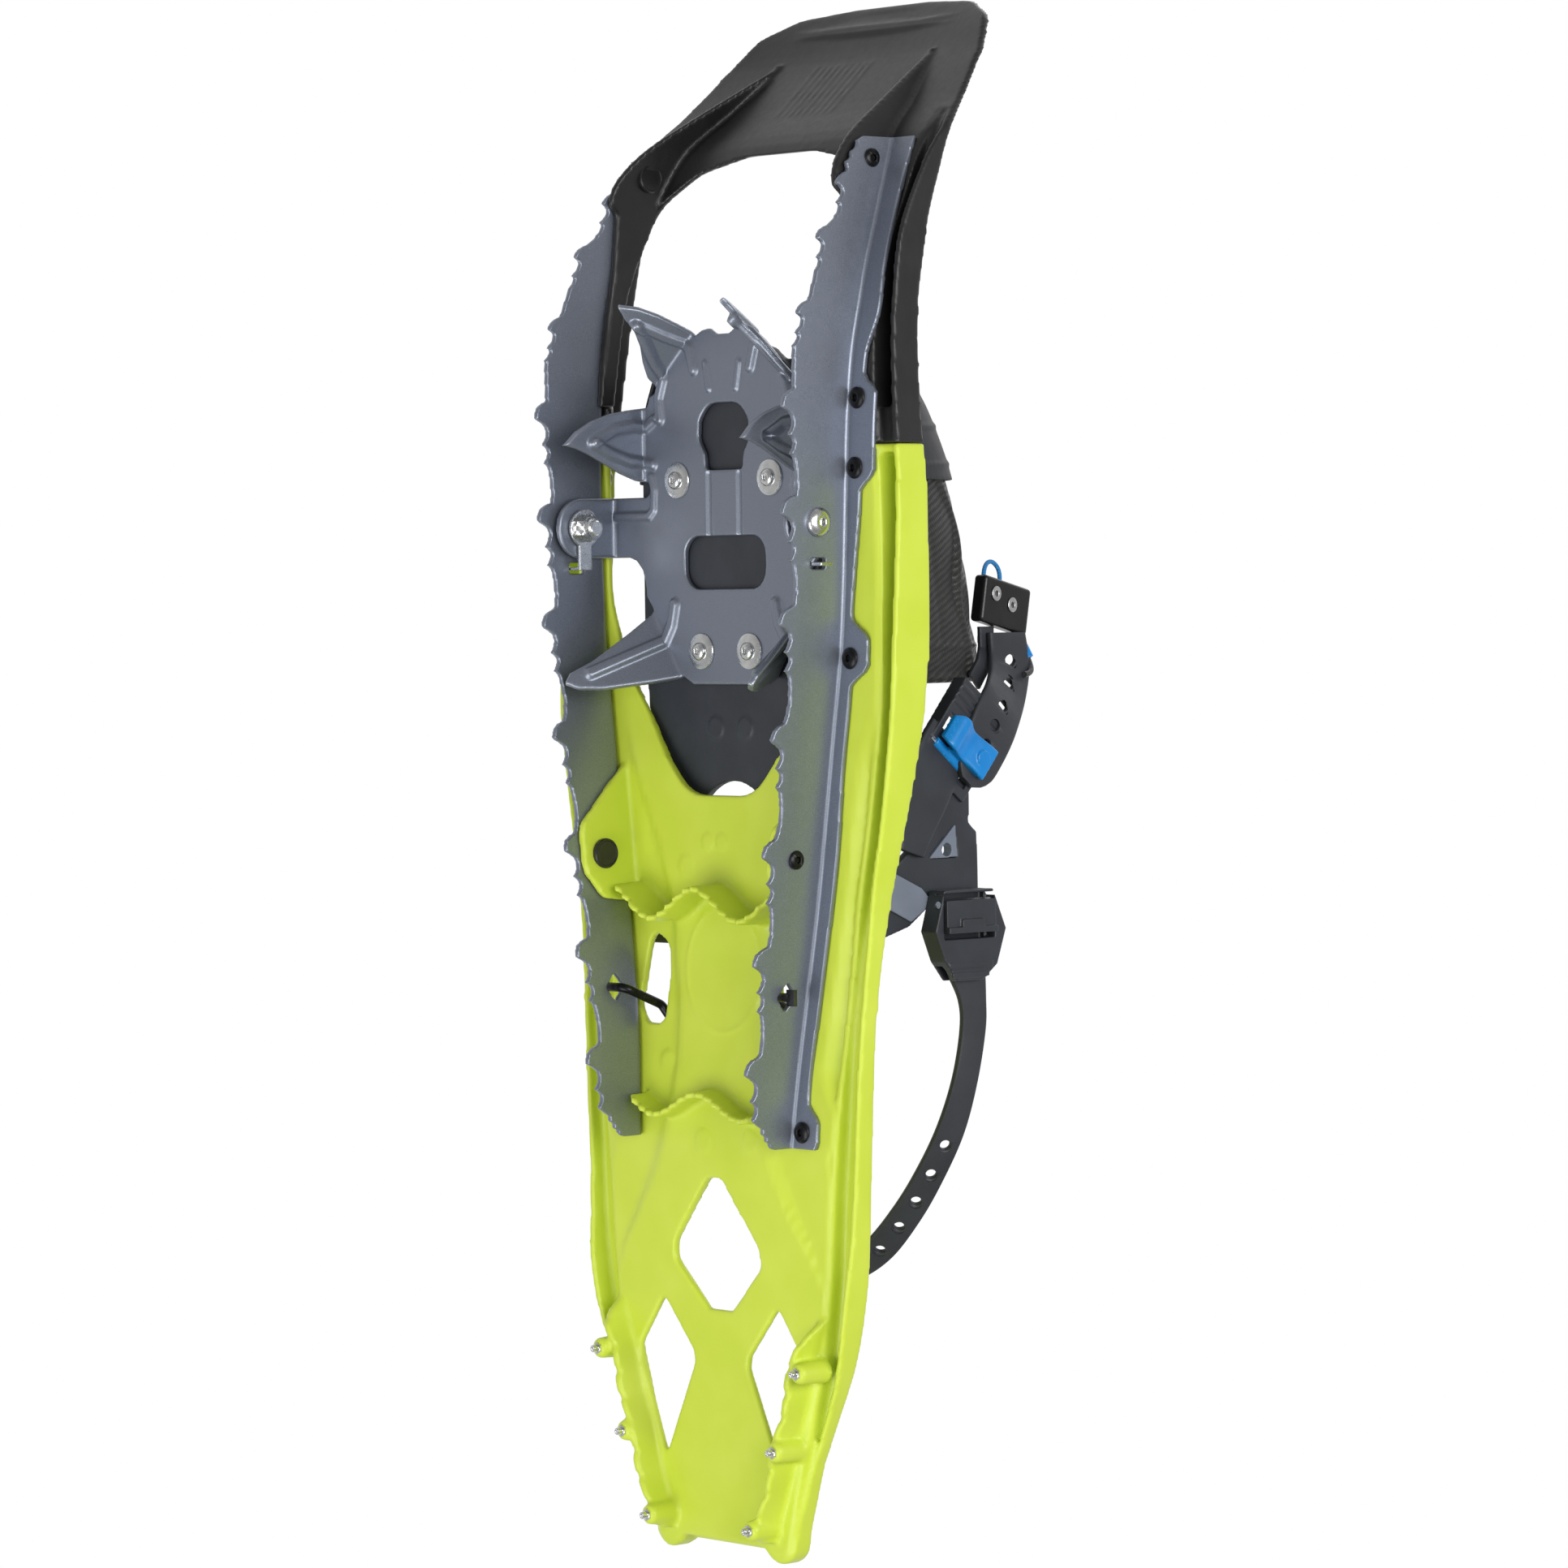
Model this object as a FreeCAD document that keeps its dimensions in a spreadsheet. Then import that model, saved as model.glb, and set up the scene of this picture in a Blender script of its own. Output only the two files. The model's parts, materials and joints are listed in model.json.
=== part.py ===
"""Left snowshoe of the moulded-deck mountain kind, modelled as an assembly of separate pieces.

Frame: millimetres, +Z up, +Y towards the toe, +X towards the wearer's right (the inner side of a
left shoe).  The shoe stands flat on its teeth: x = 0 is the middle of the deck, y = 0 the middle
of its length and z = 0 the tips of the rail teeth.
"""
import FreeCAD, Part
import Sketcher
import math
import os
from FreeCAD import Placement, Rotation, Vector

os.makedirs("parts", exist_ok=True)
doc = FreeCAD.newDocument("snowshoe")

# ---------------------------------------------------------------------------
# Driving dimensions
# ---------------------------------------------------------------------------
DIMENSIONS = [
    ("deck_half_length", 307.0, "half of the overall length"),
    ("deck_skin", 3.2, "thickness of the moulded deck floor"),
    ("rim_wall", 3.0, "thickness of the outer and inner rim walls"),
    ("rim_skin", 2.6, "thickness of the skin that closes the rim on top"),
    ("rim_width", 12.5, "width of the hollow rim"),
    ("deck_joint", 130.8, "where the toe deck meets the tail deck"),
    ("sheet_metal", 2.2, "thickness of the traction rails"),
    ("tooth_depth", 6.4, "depth of a rail tooth below its root"),
    ("crampon_metal", 2.6, "thickness of the crampon plate"),
    ("crampon_height", 35.0, "underside of the crampon plate"),
    ("pivot_along", 101.0, "binding pivot axis along the shoe"),
    ("pivot_height", 18.0, "binding pivot axis above the teeth tips"),
    ("pivot_radius", 3.0, "shank radius of the pivot bolts"),
    ("ear_inner", 66.4, "inner face of the crampon ears"),
    ("ear_radius", 12.0, "radius of the crampon ears"),
    ("running_gap", 0.08, "radial play of the ears on the pivot bolts"),
    ("footbed_height", 37.7, "underside of the footbed"),
    ("footbed_skin", 4.0, "thickness of the footbed"),
    ("lift_along", -82.5, "heel lift axis along the shoe"),
    ("lift_height", 17.0, "heel lift axis above the teeth tips"),
    ("wire_radius", 1.8, "radius of the heel lift wire"),
    ("strap_skin", 3.0, "thickness of the straps"),
    ("inner_strap_skin", 2.0, "thickness of the thin strap inside the instep strap"),
    ("screw_radius", 2.0, "shank radius of the rail screws"),
    ("screw_head", 4.3, "head radius of the rail screws"),
    ("cap_radius", 6.0, "radius of the cap nuts on the rail screws"),
    ("rivet_radius", 2.2, "shank radius of the crampon rivets"),
    ("rivet_head", 3.9, "head radius of the crampon rivets"),
    ("washer_radius", 7.2, "outer radius of the crampon washers"),
    ("stud_radius", 1.7, "radius of the steel tail studs"),
    ("stud_tip", 10.4, "lowest point of the tail studs"),
    ("arm_skin", 4.0, "thickness of the heel stirrup arms"),
    ("arm_inner", 52.0, "inner face of the heel stirrup arms"),
    ("lever_pin", 1.5, "radius of the lever pins"),
]
sheet = doc.addObject("Spreadsheet::Sheet", "dims")
for row, (alias, value, note) in enumerate(DIMENSIONS, start=1):
    sheet.set("A%d" % row, alias)
    sheet.set("B%d" % row, str(value))
    sheet.set("C%d" % row, note)
    sheet.setAlias("B%d" % row, alias)
doc.recompute()


def dim(alias):
    """The value of a driving dimension."""
    return float(sheet.get(alias))


X_AXIS = Vector(1, 0, 0)
Y_AXIS = Vector(0, 1, 0)
Z_AXIS = Vector(0, 0, 1)
PIVOT = Vector(0, dim("pivot_along"), dim("pivot_height"))
LIFT = Vector(0, dim("lift_along"), dim("lift_height"))
SIDES = (("left", -1), ("right", 1))
nodes = []


# ---------------------------------------------------------------------------
# Helpers for the feature tree
# ---------------------------------------------------------------------------
def bind(obj, **expressions):
    """Bind properties to the sheet, dots in a property's path written as double underscores."""
    for path, expression in expressions.items():
        obj.setExpression(path.replace("__", "."), expression)


def new_body(label):
    body = doc.addObject("PartDesign::Body", label)
    body.Label = label
    nodes.append(body)
    return body


def new_sketch(body, name, role="XY_Plane", offset=None):
    """A sketch on one of the body's own origin planes, moved along its normal by an expression."""
    sketch = body.newObject("Sketcher::SketchObject", name)
    plane = [feature for feature in body.Origin.OriginFeatures if feature.Role == role][0]
    sketch.AttachmentSupport = [(plane, "")]
    sketch.MapMode = "FlatFace"
    if offset is not None:
        sketch.setExpression("AttachmentOffset.Base.z", offset)
    return sketch


def add_polygon(sketch, points):
    """A closed polygon whose corners are held together by coincident constraints."""
    start = sketch.GeometryCount
    count = len(points)
    for index in range(count):
        here = Vector(points[index][0], points[index][1], 0)
        there = Vector(points[(index + 1) % count][0], points[(index + 1) % count][1], 0)
        sketch.addGeometry(Part.LineSegment(here, there), False)
    for index in range(count):
        after = start + (index + 1) % count
        sketch.addConstraint(Sketcher.Constraint("Coincident", start + index, 2, after, 1))


def add_circle(sketch, centre, radius):
    """A circle whose radius is an expression of the sheet."""
    index = sketch.addGeometry(Part.Circle(Vector(centre[0], centre[1], 0), Z_AXIS, 1.0), False)
    number = sketch.addConstraint(Sketcher.Constraint("Radius", index, 1.0))
    sketch.setExpression("Constraints[%d]" % number, radius)
    for axis, value in (("DistanceX", centre[0]), ("DistanceY", centre[1])):
        sketch.addConstraint(Sketcher.Constraint(axis, -1, 1, index, 3, value))


def pad(body, sketch, name, length, reverse=False, middle=False):
    feature = body.newObject("PartDesign::Pad", name)
    feature.Profile = sketch
    feature.Reversed = reverse
    feature.Midplane = middle
    feature.setExpression("Length", length)
    doc.recompute()
    return feature


def pocket(body, sketch, name, length, reverse=False, middle=False):
    """A pocket that has to take material away, or the script stops."""
    before = body.Shape.Volume
    feature = body.newObject("PartDesign::Pocket", name)
    feature.Profile = sketch
    feature.Reversed = reverse
    feature.Midplane = middle
    feature.setExpression("Length", length)
    doc.recompute()
    if body.Shape.Volume >= before:
        raise RuntimeError("%s cuts nothing" % name)
    return feature


# ---------------------------------------------------------------------------
# Helpers for moulded and bent shapes
# ---------------------------------------------------------------------------
def add_feature(label, shape, placement=None):
    """A sub-part whose shape is worked out here from the sheet's dimensions."""
    feature = doc.addObject("Part::Feature", label)
    feature.Label = label
    feature.Shape = shape.removeSplitter()
    if placement is not None:
        feature.Placement = placement
    nodes.append(feature)
    return feature


def plan_prism(outline, low, high):
    """A plan outline of (x, y) points drawn up from z = low to z = high."""
    points = [Vector(x, y, low) for x, y in outline]
    return Part.Face(Part.makePolygon(points + points[:1])).extrude(Vector(0, 0, high - low))


def side_prism(outline, inner, outer):
    """A side outline of (y, z) points drawn from x = inner to x = outer."""
    points = [Vector(inner, y, z) for y, z in outline]
    return Part.Face(Part.makePolygon(points + points[:1])).extrude(Vector(outer - inner, 0, 0))


def fuse_all(shapes):
    return shapes[0].multiFuse(shapes[1:]) if len(shapes) > 1 else shapes[0]


def mirrored(shape):
    """The same piece on the other side of the shoe."""
    return shape.mirror(Vector(0, 0, 0), X_AXIS)


def rod(base, axis, radius, length):
    return Part.makeCylinder(radius, length, base, axis)


def ring(base, axis, outer, inner, length):
    return rod(base, axis, outer, length).cut(rod(base, axis, inner, length))


def interpolate(line, along):
    """Height or width on a line of (along, value) points."""
    if along <= line[0][0]:
        return line[0][1]
    for (start, low), (end, high) in zip(line, line[1:]):
        if along <= end:
            return low + (high - low) * (along - start) / (end - start)
    return line[-1][1]


def band(lower, upper):
    """A closed side outline between two lines of (y, z) points."""
    return list(lower) + list(reversed(upper))


def lifted(line, height):
    return [(y, z + height) for y, z in line]


def clipped(line, start, end):
    """The stretch of a line between two places along the shoe."""
    inside = [point for point in line if start < point[0] < end]
    return [(start, interpolate(line, start))] + inside + [(end, interpolate(line, end))]


def rounded_path(points, radii):
    """Straight runs joined by tangent arcs, with one radius for each inner point."""
    edges = []
    start = points[0]
    for index in range(1, len(points) - 1):
        before = (points[index - 1] - points[index]).normalize()
        after = (points[index + 1] - points[index]).normalize()
        half_turn = (math.pi - before.getAngle(after)) / 2
        setback = radii[index - 1] * math.tan(half_turn)
        entry = points[index] + before * setback
        leave = points[index] + after * setback
        inward = (before + after).normalize()
        middle = points[index] + inward * (radii[index - 1] / math.cos(half_turn) - radii[index - 1])
        edges.append(Part.LineSegment(start, entry).toShape())
        edges.append(Part.Arc(entry, middle, leave).toShape())
        start = leave
    edges.append(Part.LineSegment(start, points[-1]).toShape())
    return Part.Wire(edges)


def tube(points, radii, radius):
    """A round bar bent along straight runs and tangent arcs."""
    path = rounded_path(points, radii)
    section = Part.Wire(Part.Circle(points[0], points[1] - points[0], radius).toShape())
    return path.makePipeShell([section], True, False)


def ribbon(stations):
    """A flat strap through (centre, across, outward, width, thickness) stations."""
    sections = []
    for centre, across, outward, width, thickness in stations:
        side = Vector(across).normalize() * (width / 2)
        depth = Vector(outward).normalize() * (thickness / 2)
        corners = [centre + side + depth, centre - side + depth,
                   centre - side - depth, centre + side - depth]
        sections.append(Part.makePolygon(corners + corners[:1]))
    return Part.makeLoft(sections, True, True)


# ---------------------------------------------------------------------------
# Lines that the deck and the rails share
# ---------------------------------------------------------------------------
HALF = dim("deck_half_length")
JOINT = dim("deck_joint")
SHEET = dim("sheet_metal")

# Underside of the rail flanges, which carry the deck.
FLANGE_LINE = [(-142, 24.8), (-90, 28.5), (-50, 30.2), (0, 31.0), (60, 32.0), (130, 33.0),
               (161, 35.2), (193, 42.2), (224, 54.0), (252, 66.2)]
# Underside of the deck floor.
FLOOR_LINE = [(-HALF, 26.8), (-142, 27.1), (-90, 30.8), (-50, 32.5), (0, 33.3), (60, 34.3),
              (130, 35.3), (161, 37.5), (193, 44.5), (224, 56.3), (250, 68.0), (268, 88.0),
              (288, 110.0), (HALF, 129.0)]
RIM_TOP = [(-HALF, 36.5), (-105, 36.5), (-73, 38.0), (-45, 41.3), (-20, 44.0), (5, 47.0),
           (33, 50.0), (60, 52.0), (130, 52.5), (151, 53.5), (184, 56.5), (201, 59.5),
           (218, 63.5), (237, 70.0), (252, 76.0), (268, 91.4), (288, 113.4), (HALF, 132.4)]
RIM_BOTTOM = [(-HALF, 24.0), (-200, 25.0), (-165, 27.4), (-110, 28.5), (-50, 31.0), (30, 32.0),
              (77, 34.5), (100, 36.0), (130, 38.0), (207, 47.0), (240, 62.0), (256, 74.7),
              (268, 88.0), (288, 110.0), (HALF, 129.0)]
# Half width of the deck.
RIM_LINE = [(-269, 49.5), (-245, 61.0), (-225, 70.0), (-206, 75.0), (-187, 78.0), (-150, 80.0),
            (-105, 82.5), (-73, 85.0), (-45, 88.0), (-20, 92.5), (5, 96.5), (33, 99.5),
            (75, 100.0), (113, 99.0), (132, 97.0), (151, 94.4), (184, 91.2), (225, 89.5),
            (252, 88.5), (266, 82.0), (274, 77.0), (288, 70.0)]
# Width of the hollow rim as a share of its widest.
RIM_TAPER = [(-HALF, 0.55), (-187, 0.65), (-105, 0.8), (5, 0.95), (33, 1.0), (120, 1.0),
             (151, 0.75), (184, 0.85), (225, 0.85), (250, 0.6), (288, 0.3)]
TAIL_EDGE = [(23.0, -300.0), (33.0, -HALF), (40.0, -300.0)]
TOE_EDGE = [(60.0, 301.0), (54.0, 305.5), (44.0, HALF)]
# Middle of the rail blade.
RAIL_LINE = [(-142, 45.0), (-112, 47.4), (-28, 59.0), (17, 65.0), (62, 70.6), (104, 72.6),
             (145, 73.5), (181, 74.0), (231, 69.5), (252, 66.0)]


def full_outline(right_side):
    """A symmetric plan outline from its right side, listed from the tail to the toe."""
    return right_side + [(-x, y) for x, y in reversed(right_side)]


def deck_outline():
    side = TAIL_EDGE + [(x, y) for y, x in RIM_LINE] + TOE_EDGE
    return full_outline(side)


def inset_prism(inset, low, high):
    """The deck's outline, moved inwards and drawn up."""
    points = [Vector(x, y, low) for x, y in deck_outline()]
    outline = Part.makePolygon(points + points[:1])
    if inset > 0:
        outline = outline.makeOffset2D(-inset)
    return Part.Face(outline).extrude(Vector(0, 0, high - low))


def rim_inner_prism(extra, low, high):
    """The plan inside the hollow rim, whose width tapers towards the tail and the toe."""
    side = [(x - dim("rim_width") * interpolate(RIM_TAPER, y) - extra, y) for y, x in RIM_LINE]
    lowest = min(side[0][1], -HALF + 4 + extra)
    side = [(side[0][0] - 16.0, lowest)] + side + [(56.0 - extra, 299.0 - extra)]
    return plan_prism(full_outline(side), low, high)


def deck_layer(lower, upper, plan):
    """The part of a plan prism that lies between two side lines."""
    return side_prism(band(lower, upper), -HALF, HALF).common(plan)


LOW, HIGH = -20.0, 220.0
outer_prism = inset_prism(0, LOW, HIGH)
wall_prism = inset_prism(dim("rim_wall"), LOW, HIGH)
rim_prism = rim_inner_prism(0.0, LOW, HIGH)
rim_inner_wall = rim_inner_prism(-dim("rim_wall"), LOW, HIGH)

FOOT_OPENING = full_outline([
    (20.0, -5.6), (27.0, 1.0), (33.5, 10.0), (46.0, 26.0), (60.0, 45.0), (68.0, 62.0),
    (71.0, 78.0), (71.2, 100.0), (71.6, 145.0), (72.5, 175.0), (73.0, 205.0), (69.5, 222.0),
    (57.0, 236.5), (42.0, 244.5), (24.0, 248.0)])


def deck_shell(start, end):
    """Floor, hollow rim and walls of one deck moulding between two places along the shoe."""
    floor = clipped(FLOOR_LINE, start, end)
    top = clipped(RIM_TOP, start, end)
    bottom = clipped(RIM_BOTTOM, start, end)
    rim_ring = outer_prism.cut(rim_prism)
    layers = [
        deck_layer(floor, lifted(floor, dim("deck_skin")), rim_prism),
        deck_layer(lifted(top, -dim("rim_skin")), top, rim_ring),
        deck_layer(bottom, top, outer_prism.cut(wall_prism)),
        deck_layer(floor, top, rim_inner_wall.cut(rim_prism)),
    ]
    return fuse_all(layers).cut(plan_prism(FOOT_OPENING, LOW, HIGH))


# ---------------------------------------------------------------------------
# Fastener places: (along, height or width) on each side of the shoe
# ---------------------------------------------------------------------------
BLADE_SCREWS = [(242.0, 53.0), (-29.0, 16.5)]
FLANGE_SCREWS = [(79.5, 148.6), (79.0, 121.7), (76.0, 48.5), (52.0, -135.5)]
STUDS = [(59.3, -227.9), (45.0, -259.8), (30.4, -292.0)]
HOLE_CLEARANCE = 0.3
CAP_SEAT = 4.8


def rail_x(along):
    return interpolate(RAIL_LINE, along)


def cap_face(along):
    """Where a blade screw's cap nut bears, inside the wall that the blade is screwed to."""
    return rail_x(along) - SHEET / 2 - CAP_SEAT


def rail_strip(start, end, inner, outer):
    """Plan strip that follows the rail, from one offset of its middle line to another."""
    path = clipped(RAIL_LINE, start, end)
    return [(x + inner, y) for y, x in path] + [(x + outer, y) for y, x in reversed(path)]


# ---------------------------------------------------------------------------
# Traction rails: toothed blades with an outward flange, bent from plate
# ---------------------------------------------------------------------------
BIG_TEETH = [-112.1, -69.6, -27.6, 17.1, 61.8, 104.2, 145.0]
RISING_TEETH = [(181.0, 8.0), (210.0, 20.5), (231.5, 33.5)]


def tooth(along, tip, depth, length):
    """One hooked tooth and the two barbs behind it, listed from the back to the front."""
    profile = [(-0.62, 0.88), (-0.42, 0.62), (-0.39, 0.96), (-0.25, 0.55), (-0.22, 0.98),
               (-0.12, 1.00), (-0.04, 0.30), (0.00, 0.00), (0.06, 0.05), (0.10, 0.30), (0.14, 0.95)]
    return [(along + dy * length, tip + dz * depth) for dy, dz in profile]


def rail_outline():
    """Side outline of a blade, teeth first."""
    depth = dim("tooth_depth")
    lower = [(-142.0, 15.5), (-139.0, 13.0), (-136.5, 13.6), (-133.0, 10.0), (-130.0, 11.0)]
    for along in BIG_TEETH:
        lower += tooth(along, 0.0, depth, 42.0)[(2 if along == BIG_TEETH[0] else 0):]
    for along, tip in RISING_TEETH:
        lower += tooth(along, tip, depth * 0.8, 28.0)[3:]
    lower += [(238.0, 38.5), (241.0, 42.0), (247.0, 46.0), (250.5, 51.0)]
    upper = clipped(lifted(FLANGE_LINE, SHEET), -142.0, 250.5)
    return lower + list(reversed(upper))


def make_rail():
    """The right-hand rail, with its holes."""
    blade = side_prism(rail_outline(), 0.0, 120.0)
    blade = blade.common(plan_prism(rail_strip(-142.0, 250.5, -SHEET / 2, SHEET / 2), LOW, HIGH))
    flange_band = band(clipped(FLANGE_LINE, -142.0, 250.5),
                       clipped(lifted(FLANGE_LINE, SHEET), -142.0, 250.5))
    strips = [plan_prism(rail_strip(-142.0, 175.0, 0.0, 8.0), LOW, HIGH),
              plan_prism(rail_strip(170.0, 250.5, 0.0, 11.5), LOW, HIGH)]
    for x, y in FLANGE_SCREWS:
        strips.append(plan_prism([(rail_x(y), y - 9), (x, y - 7.5), (x + 6.5, y - 4), (x + 6.5, y + 4),
                                  (x, y + 7.5), (rail_x(y), y + 9)], LOW, HIGH))
    strips.append(plan_prism([(rail_x(121), 119), (86, 121), (86, 149), (rail_x(149), 151)], LOW, HIGH))
    limits = side_prism(flange_band, 0.0, 120.0)
    rail = fuse_all([blade] + [limits.common(strip) for strip in strips])
    rail = rail.common(plan_prism([(30, -141.9), (110, -141.9), (110, 250.4), (30, 250.4)], LOW, HIGH))
    for along, height in BLADE_SCREWS:
        rail = rail.cut(rod(Vector(30, along, height), X_AXIS, dim("screw_radius") + HOLE_CLEARANCE, 80))
    for x, y in FLANGE_SCREWS:
        rail = rail.cut(rod(Vector(x, y, 0), Z_AXIS, dim("screw_radius") + HOLE_CLEARANCE, 60))
    rail = rail.cut(rod(Vector(30, PIVOT.y, PIVOT.z), X_AXIS, dim("pivot_radius") + 0.1, 80))
    rail = rail.cut(rod(Vector(30, LIFT.y, LIFT.z), X_AXIS, dim("wire_radius") + 0.5, 60))
    slot = Part.makeBox(30, 2.6, 7.4, Vector(60, 83.7, PIVOT.z - 3.7))
    return rail.cut(slot)


right_rail_shape = make_rail()
add_feature("right_rail", right_rail_shape)
add_feature("left_rail", mirrored(right_rail_shape))

# ---------------------------------------------------------------------------
# Tail deck
# ---------------------------------------------------------------------------
CENTRE_DIAMOND = full_outline([(2.0, -208.5), (7.5, -208.5), (22.5, -192.0), (22.5, -186.0),
                               (6.5, -161.5), (2.5, -157.0)])
SIDE_DIAMOND = [(34.0, -208.5), (45.5, -226.0), (44.5, -238.0), (35.5, -262.0), (31.5, -261.0),
                (17.5, -233.0), (18.0, -227.0)]
LIFT_SLOT = [(45.0, -58.5), (35.0, -60.0), (32.0, -68.0), (34.5, -96.5), (46.5, -96.5), (47.0, -80.0)]


def both_sides(outline):
    return [outline, [(-x, y) for x, y in outline]]


def gusset():
    """Wall beside the blade that takes the blade screw behind the foot opening."""
    face = [(6.0, 34.0), (-14.0, 9.0), (-22.0, 6.0), (-36.0, 7.0), (-46.0, 14.0), (-46.0, 34.0)]
    strip = plan_prism(rail_strip(-50.0, 10.0, -4.3, -1.3), LOW, HIGH)
    return side_prism(face, 0, 120).common(strip)


def wavy_rib(along, reach, tip, first):
    """Corrugated traction wall across the deck, a wave in plan."""
    front, back = [], []
    steps = 24
    for step in range(steps + 1):
        x = -reach + 2 * reach * step / steps
        wave = -along_wave(x, first)
        front.append((x, along + wave + 1.3))
        back.append((x, along + wave - 1.3))
    root = interpolate(FLOOR_LINE, along) + 1.0
    return plan_prism(front + list(reversed(back)), tip, root)


def along_wave(x, amplitude):
    return amplitude * math.cos(2 * math.pi * abs(x) / 52.0 + math.pi)


def tail_rib():
    """Scalloped wall towards the tail that carries three steel studs."""
    pieces = []
    start, end = Vector(60.0, -207.5, 0), Vector(30.4, -296.0, 0)
    run = (end - start).normalize()
    side = Vector(run.y, -run.x, 0) * 1.6
    outline = [(v.x, v.y) for v in (start + side, start - side, end - side, end + side)]
    wall = plan_prism(outline, LOW, HIGH)
    steps = 18
    lower = []
    for step in range(steps + 1):
        along = end.y + (start.y - end.y) * step / steps
        drop = 0.8 if step % 2 else 0.0
        fade = max(0.0, (along + 222.0) / 14.5)
        lower.append((along, 15.6 + drop + 11.0 * min(1.0, fade)))
    pieces.append(side_prism(band(lower, [(end.y, 28.0), (start.y, 28.0)]), 0, 120).common(wall))
    for x, y in STUDS:
        pieces.append(rod(Vector(x, y, 14.0), Z_AXIS, 4.0, 14.0))
    return fuse_all(pieces)


def make_tail_deck():
    shape = deck_shell(-HALF, JOINT)
    additions = [wavy_rib(-48.0, 50.0, 14.5, 6.0), wavy_rib(-127.5, 42.0, 14.5, 4.5)]
    rib = tail_rib()
    wall = gusset()
    additions += [rib, mirrored(rib), wall, mirrored(wall)]
    shape = fuse_all([shape] + additions)
    for outline in [CENTRE_DIAMOND] + both_sides(SIDE_DIAMOND) + both_sides(LIFT_SLOT):
        shape = shape.cut(plan_prism(outline, LOW, HIGH))
    for x, y in STUDS:
        hole = rod(Vector(x, y, 0), Z_AXIS, dim("stud_radius"), 22.0)
        shape = shape.cut(hole).cut(mirrored(hole))
    return shape


def drill_for_rails(shape):
    """Clearance for the rails and for every screw that passes through a deck moulding."""
    tools = []
    for along, height in BLADE_SCREWS:
        tools.append(rod(Vector(40, along, height), X_AXIS, dim("screw_radius") + HOLE_CLEARANCE, 34))
        seat = Vector(cap_face(along) + 0.1, along, height)
        tools.append(rod(seat, -X_AXIS, dim("cap_radius") + HOLE_CLEARANCE, 8))
    for x, y in FLANGE_SCREWS:
        tools.append(rod(Vector(x, y, 0), Z_AXIS, dim("screw_radius") + HOLE_CLEARANCE, 60))
    blade_room = plan_prism(rail_strip(-142.0, 250.5, -SHEET / 2 - 0.2, SHEET / 2 + 0.2), LOW, HIGH)
    below = side_prism(band([(y, LOW) for y, z in FLANGE_LINE], lifted(FLANGE_LINE, SHEET + 0.05)), 0, 120)
    flange_room = plan_prism(rail_strip(-142.2, 251.0, 0.0, 12.5), LOW, HIGH)
    tools += [below.common(blade_room), below.common(flange_room)]
    for tool in tools:
        shape = shape.cut(tool).cut(mirrored(tool))
    return shape


tail_shape = drill_for_rails(make_tail_deck())
add_feature("tail_deck", tail_shape)


# ---------------------------------------------------------------------------
# Toe deck
# ---------------------------------------------------------------------------
def toe_fin():
    """Wall that runs from the inner side of the rail up into the kicked-up toe panel."""
    inner = 2.6
    lower = [(150.0, 30.0), (180.0, 27.0), (205.0, 33.0), (225.0, 41.0), (248.0, 48.0), (262.0, 66.0),
             (288.0, 109.0)]
    upper = [(150.0, 38.0), (193.0, 46.0), (224.0, 58.0), (250.0, 70.0), (268.0, 90.0), (288.0, 112.0)]
    path = clipped(RAIL_LINE, 150.0, 251.0) + [(288.0, 49.0)]
    offset = -SHEET / 2 - 0.3
    strip = [(x + offset - inner, y) for y, x in path] + [(x + offset, y) for y, x in reversed(path)]
    return side_prism(band(lower, upper), 0, 120).common(plan_prism(strip, LOW, HIGH))


def make_toe_deck():
    shell = deck_shell(JOINT + 0.2, HALF)
    fin = toe_fin()
    return fuse_all([shell, fin, mirrored(fin)])


toe_shape = drill_for_rails(make_toe_deck())
add_feature("toe_deck", toe_shape)


# ---------------------------------------------------------------------------
# Rail fasteners and tail studs
# ---------------------------------------------------------------------------
def make_rail_screws():
    """Twelve dome-head screws: blade screws lie across the shoe, flange screws stand upright."""
    shapes = []
    head = dim("screw_head")
    shank = dim("screw_radius")
    for along, height in BLADE_SCREWS:
        face = rail_x(along) + SHEET / 2 + 0.75
        domed = rod(Vector(face + 0.05, along, height), X_AXIS, head, 1.0)
        domed = domed.fuse(Part.makeCone(head, head * 0.6, 1.2, Vector(face + 1.05, along, height), X_AXIS))
        domed = domed.fuse(rod(Vector(face - 8.6, along, height), X_AXIS, shank, 8.7))
        shapes.append(domed.cut(rod(Vector(face + 1.2, along, height), X_AXIS, 1.5, 2)))
    for x, y in FLANGE_SCREWS:
        base = interpolate(FLANGE_LINE, y) - 0.35
        domed = rod(Vector(x, y, base), -Z_AXIS, head, 0.9)
        domed = domed.fuse(Part.makeCone(head, head * 0.6, 1.2, Vector(x, y, base - 0.9), -Z_AXIS))
        domed = domed.fuse(rod(Vector(x, y, base - 0.1), Z_AXIS, shank, 9.0))
        shapes.append(domed.cut(rod(Vector(x, y, base - 1.1), -Z_AXIS, 1.5, 2)))
    return Part.makeCompound(shapes + [mirrored(shape) for shape in shapes])


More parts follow.
